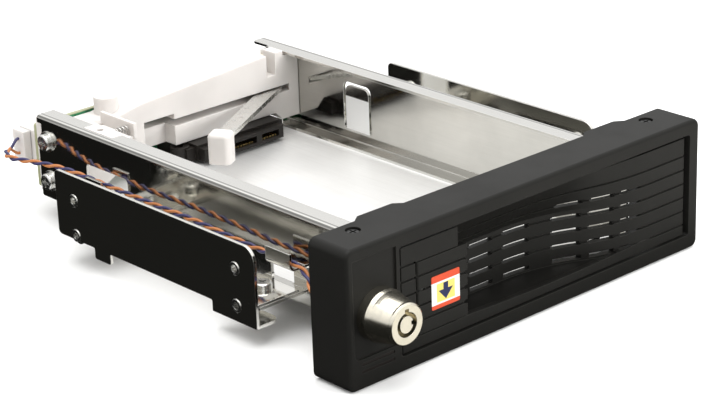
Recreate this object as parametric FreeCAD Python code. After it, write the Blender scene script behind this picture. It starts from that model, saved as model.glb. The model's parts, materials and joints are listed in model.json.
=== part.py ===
import FreeCAD, Part
import math
import os

# Trayless hot swap cage for one 3.5-inch drive, made to slide into a 5.25-inch bay.
# Millimetres. X runs right along the bezel, Y runs from the bezel towards the back, Z is up.
# The origin is the middle of the bezel's lower front edge.
# A U-shaped sheet steel chassis carries a moulded rear frame with the drive connector, the
# ejector arm and the backplane board.  Two outer brackets carry the bay's threaded holes.
# The bezel holds the hinged door, its finger latch and the tubular key lock.

V = FreeCAD.Vector

# ---- driving dimensions -------------------------------------------------------------------

# the 3.5-inch drive and the 5.25-inch bay
drive_width = 101.6
drive_height = 26.1
drive_side_gap = 1.7
drive_top_gap = 0.9
bay_width = 146.05
bay_hole_step_y = 79.25
bay_hole_step_z = 11.84
bay_hole_front_y = 50.9
bay_hole_low_z = 11.3

# bezel
bezel_width = 149.0
bezel_height = 43.0
bezel_depth = 15.5
bezel_corner = 2.5
bezel_edge_round = 1.2
bezel_wall = 2.2
bezel_face = 3.0
lock_zone = 20.0
right_rim = 4.5
opening_low = 4.9
top_rim = 4.4
opening_corner = 0.9
top_tab_inset = 4.7
top_tab_width = 19.0
top_tab_reach = 2.2
ear_screw_reach = 8.2
bezel_screw_y = 11.0

# door
door_gap_side = 1.0
door_gap_hinge = 1.8
door_gap_low = 0.6
door_gap_high = 0.9
door_front = 0.6
door_skin = 2.0
door_end_depth = 4.8
rim_thickness = 1.4
ledge_thickness = 1.6
scoop_overlap = 3.6
scoop_sweep = 52.0
scoop_bend = 12.0
hinge_block = 18.0
scoop_depth = 12.6
scoop_turn_z = 24.6
top_scoop_depth = 3.0
floor_height = 2.1
lip_height = 3.6
lip_dip = 1.0
row_pitch = 4.6
row_count = 6
row_low = 8.9
groove_height = 0.7
groove_depth = 0.6
slot_height = 1.3
slot_columns = [(-14.2, -4.6, 4), (0.0, 10.3, 4), (18.2, 27.0, 5), (29.4, 37.6, 5), (39.9, 48.2, 5)]
hinge_inset = 3.8
hinge_y = 3.4
hinge_pin_radius = 1.0
running_gap = 0.05

# finger latch
latch_margin = 7.0
latch_width = 19.9
latch_skin = 1.9
latch_gap = 0.35
latch_swing_gap = 0.55
latch_edge_round = 0.8
latch_pin_inset = 2.5
latch_pin_y = 2.4
latch_pin_radius = 0.8
latch_hub_radius = 1.6
latch_spring_room = 5.2
latch_spring_radius = 1.1
latch_spring_wire = 0.25
hook_reach = 1.5
hook_height = 2.4
hook_front = 5.0
hook_thickness = 1.3
strike_gap = 0.3

# tubular key lock
lock_inset = 8.2
lock_z = 21.2
lock_barrel_radius = 5.6
lock_barrel_back = 6.4
lock_collar_radius = 8.0
lock_seat = 0.7
lock_collar_straight = 2.4
lock_face_radius = 6.3
lock_stand_out = 11.2
keyway_outer_radius = 3.7
keyway_post_radius = 2.5
keyway_depth = 6.5
keyway_notch = 1.4
lock_nut_flats = 13.4
lock_nut_thickness = 2.6
cam_length = 11.6
cam_gap = 0.3
cam_thickness = 1.5
cam_width = 7.0
cam_square = 4.0
keeper_gap = 0.5
keeper_wall = 1.3
keeper_sheet = 1.0
keeper_foot = 3.4
stake_radius = 0.7

# indicator window and lamps
window_inset = 2.8
window_width = 12.6
window_rows = (5.5, 7.8)
window_slit = 0.9
lamp_radius = 1.5
lead_radius = 1.0
lamp_back = 8.95
lamp_crimp = 0.05
plug_stand_out = 3.0
plug_seat = 4.4
plug_grip_rim = 0.4
plug_grip_gap = 0.2
plug_latch_inset = 0.8
plug_latch_rise = 1.1
plug_latch_half = 1.2
plug_z = 23.0
plug_height = 10.0
plug_reach = 5.6
header_wall = 0.5
header_length = 6.0
header_end_wall = 1.2
plug_y = 186.0

# chassis
sheet = 1.0
chassis_low = 6.0
ledge_rise = 1.0
ledge_width = 6.0
flange_width = 6.0
wall_front_y = 10.6
floor_front_y = 16.4
chassis_back_y = 176.0
flange_tip_y = 184.5
bend_radius = 1.3
tongue_front_y = 129.1
tongue_back_y = 140.9
tongue_high = 28.0
tongue_root = 4.0
tongue_gap = 1.1
clip_sheet = 0.8
clip_width = 5.0
# each clip: front, back, height of its foot, height of its hook
lead_clips = [(42.0, 53.0, 20.0, 5.8), (134.0, 142.0, 17.6, 6.8)]
rear_window_front_y = 127.5
rear_window_back_y = 149.5
rear_window_low = 18.4
wall_notch_reach = 2.2
wall_notch_low = 24.2
wall_notch_rim = 1.6
window_height = 7.0
frame_arm_front_y = 138.5
frame_arm_show_y = 153.6
arm_inset = 2.0
arm_fit = 0.3
cradle_gap = 7.8
cradle_width = 9.7
cradle_wall = 1.2
cradle_front_y = 149.0
frame_spring_radius = 1.3
frame_spring_wire = 0.3
ear_reach = 12.0
ear_front_y = 7.9

# side brackets
bracket_front_y = 42.0
bracket_back_y = 139.6
bracket_low = 9.8
bracket_high = 31.6
bracket_corner = 4.5
foot_low = 6.2
foot_back_y = 62.4
foot_reach = 9.0
hook_tab_front_y = 112.6
hook_tab_back_y = 120.7
nut_ring_radius = 2.0
nut_ring_stand = 0.25
nut_shank_radius = 2.1
nut_height = 2.2
thread_radius = 1.25
nut_clearance = 0.35
tie_high = 13.0
tie_half = 9.2
tie_notch_half = 3.6
tie_end_gap = 0.2
tie_screw_radius = 1.5

# rear frame, arm and board
frame_front_y = 166.0
frame_back_y = 178.4
frame_low = 8.6
frame_wall = 2.2
frame_end_gap = 0.2
beam_low = 14.3
left_end_width = 22.5
panel_width = 13.0
panel_low = 11.3
slot_low = 21.2
slot_high = 23.8
slot_reach = 60.7
arm_pivot_inset = 8.8
arm_pivot_y = 169.6
arm_length = 54.6
arm_rest_angle = 210.5
arm_width = 6.4
arm_thickness = 1.6
arm_pin_radius = 1.2
bumper_long = 7.0
bumper_wide = 8.0
bumper_low = 14.2
bumper_high = 25.0
bumper_fit = 0.15
board_gap = 0.6
board_thickness = 1.6
board_left_gap = 0.7
board_right_gap = 2.0
board_low = 9.0
board_high = 31.4
frame_screw_z = (13.9, 27.7)
frame_screw_y = 170.8
frame_screw_radius = 1.5
frame_screw_head_radius = 2.9
frame_screw_head = 1.8
frame_screw_shank = 1.2
frame_screw_length = 7.0
board_screw_z = 25.3
board_screw_radius = 1.0
header_reach = 6.0
header_low = 26.4
header_height = 6.6
washer_radius = 3.6
washer_thickness = 0.5

# connectors
connector_inset = 10.1
connector_width = 43.3
connector_left_end = 7.0
connector_post_inset = 0.4
connector_post_reach = 9.0
connector_post_radius = 3.4
connector_post_bore = 1.4
connector_nose_y = 157.6
connector_low = 8.4
connector_high = 14.0
port_height = 2.4
port_depth = 5.5
power_width = 20.6
signal_width = 10.4
port_gap = 2.4
contact_pitch = 1.27
contact_half = 0.3
power_contact_margin = 1.4
signal_contact_margin = 0.7
signal_mouth_inset = 2.6
contact_start = 1.0
contact_thickness = 0.5
data_inset = 39.8
data_width = 16.4
data_height = 5.8
data_wall = 1.3
data_reach = 8.0
data_z = 15.0
outlet_inset = 5.0
outlet_width = 22.0
outlet_low = 12.0
outlet_height = 9.6
outlet_reach = 9.5
outlet_end = 3.4
outlet_pitch = 5.08
outlet_mouth_radius = 1.95
outlet_pin_radius = 1.05
outlet_pin_short = 1.0
outlet_mouth_floor = 1.5

# ---- derived places -----------------------------------------------------------------------

half_bezel = bezel_width / 2
opening_left = -half_bezel + lock_zone
opening_right = half_bezel - right_rim
opening_high = bezel_height - top_rim
inner_half = drive_width / 2 + drive_side_gap
outer_half = inner_half + sheet
ledge_low = chassis_low + ledge_rise
drive_low = ledge_low + sheet
flange_low = drive_low + drive_height + drive_top_gap
flange_high = flange_low + sheet
flange_inner = inner_half - flange_width
half_bay = bay_width / 2
bracket_outer = half_bay - nut_ring_stand
bracket_inner = bracket_outer - sheet
tie_places = [bay_hole_front_y, bay_hole_front_y + bay_hole_step_y]
tie_spans = [(y - tie_half, y + tie_half) for y in tie_places]
tie_notch_x = bracket_inner - nut_height - nut_clearance
bezel_screw_x = outer_half + ear_screw_reach
top_tab_outer = bezel_screw_x - top_tab_inset
top_tab_inner = top_tab_outer - top_tab_width
lock_x = opening_left - lock_inset
window_right = opening_left - window_inset
window_left = window_right - window_width
lamp_x = (window_left + window_right) / 2
hinge_x = opening_right - hinge_inset
latch_left = opening_left + latch_margin
latch_right = latch_left + latch_width
latch_pin_x = latch_left + latch_pin_inset
scoop_left = latch_right - scoop_overlap
scoop_right = opening_right - hinge_block
scoop_flat_right = scoop_right - scoop_sweep
door_left = opening_left + door_gap_side
door_right = opening_right - door_gap_hinge
door_low = opening_low + door_gap_low
door_high = opening_high - door_gap_high
row_heights = [row_low + row_pitch * i for i in range(row_count)]
latch_low = row_heights[0] + groove_height / 2
latch_high = row_heights[-1] - groove_height / 2
rim_back = door_front + door_end_depth + 0.6
cam_front = lock_barrel_back + cam_gap
cam_back = cam_front + cam_thickness
keeper_left = door_left + rim_thickness
keeper_back = cam_back + keeper_gap + keeper_wall
panel_left = inner_half - panel_width
beam_left = -inner_half + left_end_width
arm_left = -inner_half + arm_inset
arm_pivot_x = inner_half - arm_pivot_inset
slot_left = arm_pivot_x - slot_reach
cradle_left = arm_left + cradle_gap
board_left = -inner_half + board_left_gap
plug_left = board_left - plug_stand_out
board_right = inner_half - board_right_gap
connector_right = drive_width / 2 - connector_inset
connector_left = connector_right - connector_width
outlet_left = board_right - outlet_inset - outlet_width
outlet_middle = outlet_low + outlet_height / 2
board_y = frame_back_y + board_gap
board_back_y = board_y + board_thickness

# ---- helpers ------------------------------------------------------------------------------


def box(x0, x1, y0, y1, z0, z1):
    return Part.makeBox(x1 - x0, y1 - y0, z1 - z0, V(x0, y0, z0))


def rod(radius, start, end):
    start = V(*start)
    line = V(*end) - start
    return Part.makeCylinder(radius, line.Length, start, line)


def fuse(shapes):
    whole = shapes[0]
    for shape in shapes[1:]:
        whole = whole.fuse(shape)
    return whole.removeSplitter()


def cut(shape, tools):
    for tool in tools:
        shape = shape.cut(tool)
    return shape


def solid_of(shape):
    """The single solid inside a boolean result."""
    if len(shape.Solids) == 1:
        return shape.Solids[0]
    return shape


def outline(points, place):
    """Closed wire through corners (u, v) or (u, v, radius), each put in space by place(u, v)."""
    corners = [V(p[0], p[1], 0) for p in points]
    marks = []
    for i, corner in enumerate(corners):
        radius = points[i][2] if len(points[i]) > 2 else 0
        if not radius:
            marks.append((corner, None, corner))
            continue
        before = (corners[i - 1] - corner).normalize()
        after = (corners[(i + 1) % len(corners)] - corner).normalize()
        half = before.getAngle(after) / 2
        reach = radius / math.tan(half)
        middle = corner + (before + after).normalize() * (radius / math.sin(half) - radius)
        marks.append((corner + before * reach, middle, corner + after * reach))
    edges = []
    for i, (start, middle, end) in enumerate(marks):
        if middle:
            spots = [place(p.x, p.y) for p in (start, middle, end)]
            edges.append(Part.Arc(*spots).toShape())
        following = marks[(i + 1) % len(marks)][0]
        if (following - end).Length > 1e-6:
            edges.append(Part.LineSegment(place(end.x, end.y), place(following.x, following.y)).toShape())
    return Part.Wire(edges)


def slab(points, plane, low, high):
    """Outline in plane XY, XZ or YZ, drawn out along the third axis from low to high."""
    places = {
        "XY": (lambda u, v: V(u, v, low), V(0, 0, high - low)),
        "XZ": (lambda u, v: V(u, low, v), V(0, high - low, 0)),
        "YZ": (lambda u, v: V(low, u, v), V(high - low, 0, 0)),
    }
    place, reach = places[plane]
    return Part.Face(outline(points, place)).extrude(reach)


def plate(u0, u1, v0, v1, plane, low, high, radius):
    """Rectangle with four round corners, drawn out like slab."""
    points = [(u0, v0, radius), (u1, v0, radius), (u1, v1, radius), (u0, v1, radius)]
    return slab(points, plane, low, high)


def mirrored(shape):
    """The same piece on the other side of the middle plane."""
    return shape.mirror(V(0, 0, 0), V(1, 0, 0))


def fillet_where(shape, radius, wanted):
    edges = [e for e in shape.Edges if wanted(e)]
    return shape.makeFillet(radius, edges)


def pan_screw(head_radius, head_height, shank_radius, shank_length, place, axis):
    """Cross-recess pan head screw: head on top of place, shank along minus axis."""
    head = Part.makeCylinder(head_radius, head_height)
    head = fillet_where(head, head_height * 0.45, lambda e: e.BoundBox.ZMin > head_height - 0.01)
    shank = Part.makeCylinder(shank_radius, shank_length, V(0, 0, -shank_length))
    arm = head_radius * 0.62
    slit = head_radius * 0.13
    deep = head_height * 0.5
    cross = [
        box(-arm, arm, -slit, slit, deep, head_height + 1),
        box(-slit, slit, -arm, arm, deep, head_height + 1),
    ]
    screw = cut(fuse([head, shank]), cross)
    screw.Placement = FreeCAD.Placement(V(*place), FreeCAD.Rotation(V(0, 0, 1), V(*axis)))
    return screw


def coil(mean_radius, wire_radius, pitch, turns, place, axis):
    """Round wire spring about an axis, starting at place."""
    helix = Part.makeHelix(pitch, pitch * turns, mean_radius)
    start = Part.Wire([Part.makeCircle(wire_radius, V(mean_radius, 0, 0), V(0, 1, 0))])
    spring = Part.Wire(helix.Edges).makePipeShell([start], True, True)
    spring.Placement = FreeCAD.Placement(V(*place), FreeCAD.Rotation(V(0, 0, 1), V(*axis)))
    return solid_of(spring)


def lead(points, radius):
    """Round lead along straight runs joined by tangent arcs as large as the runs allow."""
    spots = [V(*p) for p in points]
    edges = []
    last = spots[0]
    for before, corner, after in zip(spots, spots[1:], spots[2:]):
        back = (before - corner).normalize()
        ahead = (after - corner).normalize()
        half = back.getAngle(ahead) / 2
        reach = 0.45 * min((before - corner).Length, (after - corner).Length)
        bend = reach * math.tan(half)
        start = corner + back * reach
        end = corner + ahead * reach
        middle = corner + (back + ahead).normalize() * (bend / math.sin(half) - bend)
        edges.append(Part.LineSegment(last, start).toShape())
        edges.append(Part.Arc(start, middle, end).toShape())
        last = end
        print(f"lead bend radius {bend:.1f}")
    edges.append(Part.LineSegment(last, spots[-1]).toShape())
    path = Part.Wire(edges)
    ring = Part.Wire([Part.makeCircle(radius, spots[0], spots[1] - spots[0])])
    tube = solid_of(path.makePipeShell([ring], True, False))
    print(f"lead volume {tube.Volume:.1f}, section times length {math.pi * radius ** 2 * path.Length:.1f}")
    return tube


# ---- chassis ------------------------------------------------------------------------------


def chassis():
    foot = inner_half - ledge_width
    drop = ledge_rise
    inside = min(sheet * 0.4, bend_radius)
    half = [
        (foot, chassis_low),
        (foot + drop, ledge_low),
        (outer_half, ledge_low, bend_radius),
        (outer_half, flange_high, bend_radius),
        (flange_inner, flange_high),
        (flange_inner, flange_low),
        (inner_half, flange_low, inside),
        (inner_half, drive_low, inside),
        (foot + drop - 0.4, drive_low),
        (foot - 0.4, drive_low - ledge_rise),
    ]
    points = half + [(-p[0],) + tuple(p[1:]) for p in reversed(half)]
    tray = slab(points, "XZ", wall_front_y, chassis_back_y)
    tools = [box(-foot - 2, foot + 2, 0, floor_front_y, 0, drive_low + 0.5)]
    # a U-shaped slot leaves a sprung tongue in the right wall that presses on the drive's side
    y0, y1 = tongue_front_y, tongue_back_y
    for side in (1, -1):
        low, high = sorted((side * (inner_half - 1), side * (outer_half + 1)))
        if side == 1:
            outer_top = tongue_high + tongue_gap
            outer = plate(y0 - tongue_gap, y1 + tongue_gap, drive_low, outer_top, "YZ", low, high, 2.4)
            inner = plate(y0, y1, drive_low - 4, tongue_high, "YZ", low, high, 2.4)
            root = box(low, high, y0 - 3, y1 + 3, 0, drive_low + tongue_root)
            tools.append(outer.cut(inner).cut(root))
        front, back = tie_spans[0]
        tools.append(plate(front + 5.5, back - 2.5, tie_high, tie_high + window_height, "YZ", low, high, 1.0))
        for z in frame_screw_z:
            tools.append(rod(frame_screw_radius + 0.2, (low, frame_screw_y, z), (high, frame_screw_y, z)))
    # rear windows beside the lead clip, and the notch that lets the frame's arm show in the flange
    wall_left, wall_right = -outer_half - 1, -inner_half + 1
    rear_window_high = rear_window_low + window_height
    tools.append(
        plate(
            rear_window_front_y, rear_window_back_y, rear_window_low, rear_window_high,
            "YZ", wall_left, wall_right, 1.5,
        )
    )
    notch_left = -inner_half + arm_inset - arm_fit
    front, back = frame_arm_front_y - arm_fit, frame_arm_show_y + arm_fit
    tools.append(box(notch_left, -flange_inner + 1, front, back, flange_low - 0.5, flange_high + 10))
    front, high = chassis_back_y - wall_notch_reach, flange_low - wall_notch_rim
    tools.append(box(wall_left, wall_right, front, chassis_back_y + 1, wall_notch_low, high))
    tray = cut(tray, tools)
    pieces = [tray]
    # ties that reach out under the side brackets' own tabs, bent from the wall
    for side in (1, -1):
        low, high = sorted((side * (outer_half - 0.3), side * (bracket_inner - tie_end_gap)))
        for front, back in tie_spans:
            tie = box(low, high, front, back, tie_high - sheet, tie_high)
            pieces.append(tie.cut(tie_notch(side, front, back)).cut(tie_screw_hole(side, front, back)))
        # ears that the bezel's screws pull down on
        low, high = sorted((side * (outer_half - bend_radius), side * (outer_half + ear_reach)))
        ear = plate(low, high, ear_front_y, bezel_depth - 0.6, "XY", flange_low, flange_high, 0.8)
        screw_x = side * bezel_screw_x
        low, high = flange_low - 1, flange_high + 1
        pieces.append(ear.cut(rod(0.95, (screw_x, bezel_screw_y, low), (screw_x, bezel_screw_y, high))))
    # the right flange runs on past the wall as a tip that hooks in the computer's rack
    tip = plate(
        flange_inner + 1.0, inner_half, chassis_back_y - 4, flange_tip_y, "XY", flange_low, flange_high, 0.9
    )
    pieces.append(tip)
    # lead clips: hooks bent out of the left wall
    for front, back, low_z, height in lead_clips:
        inside = -outer_half - clip_width
        hook = [
            (-outer_half + 0.4, low_z),
            (-outer_half + 0.4, low_z + clip_sheet),
            (inside, low_z + clip_sheet, 1.2),
            (inside, low_z + height),
            (inside - clip_sheet, low_z + height),
            (inside - clip_sheet, low_z, 2.0),
        ]
        pieces.append(slab(hook, "XZ", front, back))
    return solid_of(fuse(pieces))


# ---- side brackets ------------------------------------------------------------------------


def tie_screw_hole(side, front, back):
    x = side * (outer_half + bracket_inner) / 2
    return rod(tie_screw_radius, (x, (front + back) / 2, 0), (x, (front + back) / 2, bezel_height))


def tie_notch(side, front, back):
    """Room for the clinch nuts in the edge of a tie or a tab."""
    middle = (front + back) / 2
    low, high = sorted((side * tie_notch_x, side * half_bay))
    return box(low, high, middle - tie_notch_half, middle + tie_notch_half, 0, bezel_height)


def nut_places(side):
    return [
        (side * half_bay, bay_hole_front_y + i * bay_hole_step_y, bay_hole_low_z + j * bay_hole_step_z)
        for i in (0, 1)
        for j in (0, 1)
    ]


def side_bracket(side):
    points = [
        (bracket_front_y, foot_low, 0.6),
        (foot_back_y, foot_low, 0.8),
        (foot_back_y, bracket_low, 0.6),
        (hook_tab_front_y, bracket_low, 0.6),
        (hook_tab_front_y, foot_low, 0.8),
        (hook_tab_back_y, foot_low, 0.8),
        (hook_tab_back_y, bracket_low, 0.6),
        (bracket_back_y, bracket_low, 1.5),
        (bracket_back_y, bracket_high, 1.8),
        (bracket_front_y, bracket_high, bracket_corner),
    ]
    web = slab(points, "YZ", bracket_inner, bracket_outer)
    foot = slab(
        [
            (bracket_outer, bracket_front_y, 0.6),
            (bracket_outer, foot_back_y),
            (bracket_outer - foot_reach + 2.5, foot_back_y, 2.5),
            (bracket_outer - foot_reach, foot_back_y - 7, 2.5),
            (bracket_outer - foot_reach, bracket_front_y, 3.0),
        ],
        "XY",
        foot_low,
        foot_low + sheet,
    )
    pieces = [web, foot]
    # tabs that lie on the chassis's ties, notched round the clinch nuts
    for front, back in tie_spans:
        tab = box(outer_half + 3.0, bracket_inner + 0.3, front, back, tie_high, tie_high + sheet)
        tab = tab.cut(tie_notch(1, front, back))
        pieces.append(tab.cut(tie_screw_hole(1, front, back)))
    web = fuse(pieces)
    start, end = bracket_inner - 1, half_bay + 1
    holes = [rod(nut_shank_radius, (start, y, z), (end, y, z)) for _, y, z in nut_places(1)]
    web = solid_of(cut(web, holes))
    return web if side > 0 else mirrored(web)


def clinch_nuts(side):
    nuts = []
    for _, y, z in nut_places(1):
        shank = rod(nut_shank_radius, (bracket_inner, y, z), (bracket_outer, y, z))
        base = rod(nut_shank_radius + 1.0, (bracket_inner - nut_height, y, z), (bracket_inner, y, z))
        face = rod(nut_ring_radius, (bracket_outer, y, z), (half_bay, y, z))
        hole = rod(thread_radius, (bracket_inner - 5, y, z), (half_bay + 5, y, z))
        nuts.append(fuse([shank, base, face]).cut(hole))
    group = Part.makeCompound(nuts)
    return group if side > 0 else mirrored(group)


def tie_screws():
    screws = []
    for side in (1, -1):
        x = side * (outer_half + bracket_inner) / 2
        for front, back in tie_spans:
            place = (x, (front + back) / 2, tie_high + sheet)
            screws.append(pan_screw(2.9, 1.9, tie_screw_radius, 3.4, place, (0, 0, 1)))
    return Part.makeCompound(screws)


# ---- bezel --------------------------------------------------------------------------------


def bezel_frame():
    shell = plate(-half_bezel, half_bezel, 0, bezel_height, "XZ", 0, bezel_depth, bezel_corner)
    shell = fillet_where(shell, bezel_edge_round, lambda e: e.BoundBox.YMax < 0.01)
    inset = bezel_wall
    hollow = plate(
        -half_bezel + inset, half_bezel - inset, inset, bezel_height - inset,
        "XZ", bezel_face, bezel_depth + 1, 1.0,
    )
    opening = plate(
        opening_left, opening_right, opening_low, opening_high, "XZ", -1, bezel_face + 1, opening_corner
    )
    # dished panel round the lock
    dish = plate(-half_bezel + 2.2, opening_left - 1.3, 9.4, bezel_height + 6, "XZ", -1, 0.7, 2.0)
    dish = dish.cut(box(-90, 0, -2, 2, bezel_height - 3.6, 60))
    shell = cut(shell, [hollow, opening, dish])
    tabs = []
    for side in (1, -1):
        tab = [
            (side * top_tab_inner, bezel_depth - 1),
            (side * top_tab_inner, bezel_depth),
            (side * (top_tab_inner + 2.5), bezel_depth + top_tab_reach, 1.0),
            (side * (top_tab_outer - 3.0), bezel_depth + top_tab_reach, 1.0),
            (side * top_tab_outer, bezel_depth),
            (side * top_tab_outer, bezel_depth - 1),
        ]
        tabs.append(slab(tab, "XY", bezel_height - bezel_wall, bezel_height))
        # boss over the chassis ear, for the bezel's screw
        x = side * bezel_screw_x
        tabs.append(rod(3.4, (x, bezel_screw_y, flange_high), (x, bezel_screw_y, bezel_height - 1)))
    # hinge bosses above and below the door
    for low, high in ((bezel_wall - 0.5, opening_low), (opening_high, bezel_height - bezel_wall + 0.5)):
        tabs.append(box(hinge_x - 3, half_bezel - bezel_wall + 0.5, bezel_face - 0.5, hinge_y + 3, low, high))
    # side ribs that centre the chassis, standing off its walls
    for side in (1, -1):
        low, high = sorted((side * (outer_half + 0.2), side * (outer_half + 1.6)))
        tabs.append(box(low, high, wall_front_y + 0.4, bezel_depth - 1, bezel_wall - 0.5, ledge_low + 2))
    # strikes behind the opening's left edge, for the latch's hooks
    for low in hook_lows():
        strike = box(
            opening_left - 2 * hook_reach, opening_left, bezel_face - 0.5, hook_front - strike_gap,
            low - strike_gap, low + hook_height + strike_gap,
        )
        tabs.append(strike)
    shell = fuse([shell] + tabs)
    holes = [
        rod(lock_collar_radius, (lock_x, -1, lock_z), (lock_x, lock_seat, lock_z)),
        rod(hinge_pin_radius, (hinge_x, hinge_y, 1.2), (hinge_x, hinge_y, bezel_height - 1.2)),
        rod(lock_barrel_radius + 0.1, (lock_x, -1, lock_z), (lock_x, bezel_face + 1, lock_z)),
    ]
    for side in (1, -1):
        x = side * bezel_screw_x
        holes.append(rod(2.3, (x, bezel_screw_y, bezel_height - 1.6), (x, bezel_screw_y, bezel_height + 1)))
        holes.append(rod(1.3, (x, bezel_screw_y, flange_high - 1), (x, bezel_screw_y, bezel_height)))
    for z in window_rows:
        low, high = z - window_slit / 2, z + window_slit / 2
        holes.append(box(window_left, window_right, -1, bezel_face + 1, low, high))
    return solid_of(cut(shell, holes))


def bezel_screws():
    screws = []
    for side in (1, -1):
        place = (side * bezel_screw_x, bezel_screw_y, bezel_height - 1.6)
        length = bezel_height - 1.6 - flange_low + 0.8
        screws.append(pan_screw(2.1, 1.1, 0.95, length, place, (0, 0, 1)))
    return Part.makeCompound(screws)


# ---- door ---------------------------------------------------------------------------------


def scoop_edges(depth, left_depth, offset, z):
    """Plan line of the door's skin at height z, from the left end to the hinge end.

    It runs at the scoop's depth, then sweeps forward in two equal arcs that meet halfway.
    """
    width = scoop_right - scoop_flat_right
    radius = (depth ** 2 + width ** 2) / (4 * depth)
    angle = math.asin(width / 2 / radius)
    deep = door_front + depth
    near = radius - offset
    far = radius + offset
    first_centre = V(scoop_flat_right, deep - radius, z)
    last_centre = V(scoop_right, door_front + radius, z)

    def first(turn):
        return first_centre + V(math.sin(turn), math.cos(turn), 0) * far

    def last(turn):
        return last_centre - V(math.sin(turn), math.cos(turn), 0) * near

    bend = V(scoop_flat_right - scoop_bend, deep + offset, z)
    spots = [V(scoop_left, door_front + left_depth + offset, z), bend, first(0)]
    end = V(door_right - 6, door_front + offset, z)
    return [
        Part.LineSegment(spots[0], spots[1]).toShape(),
        Part.LineSegment(spots[1], spots[2]).toShape(),
        Part.Arc(first(0), first(angle / 2), first(angle)).toShape(),
        Part.Arc(last(angle), last(angle / 2), last(0)).toShape(),
        Part.LineSegment(last(0), end).toShape(),
    ]


def scoop_section(depth, left_depth, z, front_offset, back_offset):
    front = scoop_edges(depth, left_depth, front_offset, z)
    back = scoop_edges(depth, left_depth, back_offset, z)
    ends = [
        Part.LineSegment(front[-1].lastVertex().Point, back[-1].lastVertex().Point).toShape(),
        Part.LineSegment(back[0].firstVertex().Point, front[0].firstVertex().Point).toShape(),
    ]
    return Part.Wire(front + [ends[0]] + list(reversed(back)) + [ends[1]])


def scoop_band(front_offset, back_offset, low, high):
    """Upright band that follows the skin below the turn, and leans forward with it above."""
    pieces = []
    if low < scoop_turn_z:
        section = scoop_section(scoop_depth, scoop_depth, low, front_offset, back_offset)
        reach = min(high, scoop_turn_z) - low
        pieces.append(Part.Face(section).extrude(V(0, 0, reach)))
    if high > scoop_turn_z:
        start = max(low, scoop_turn_z)
        wires = []
        for z in (start, high):
            share = (z - scoop_turn_z) / (door_high - scoop_turn_z)
            depth = scoop_depth + (top_scoop_depth - scoop_depth) * share
            left = scoop_depth + (top_scoop_depth - scoop_depth) * share
            wires.append(scoop_section(depth, left, z, front_offset, back_offset))
        pieces.append(Part.makeLoft(wires, True, True))
    return fuse(pieces) if len(pieces) > 1 else pieces[0]


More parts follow.
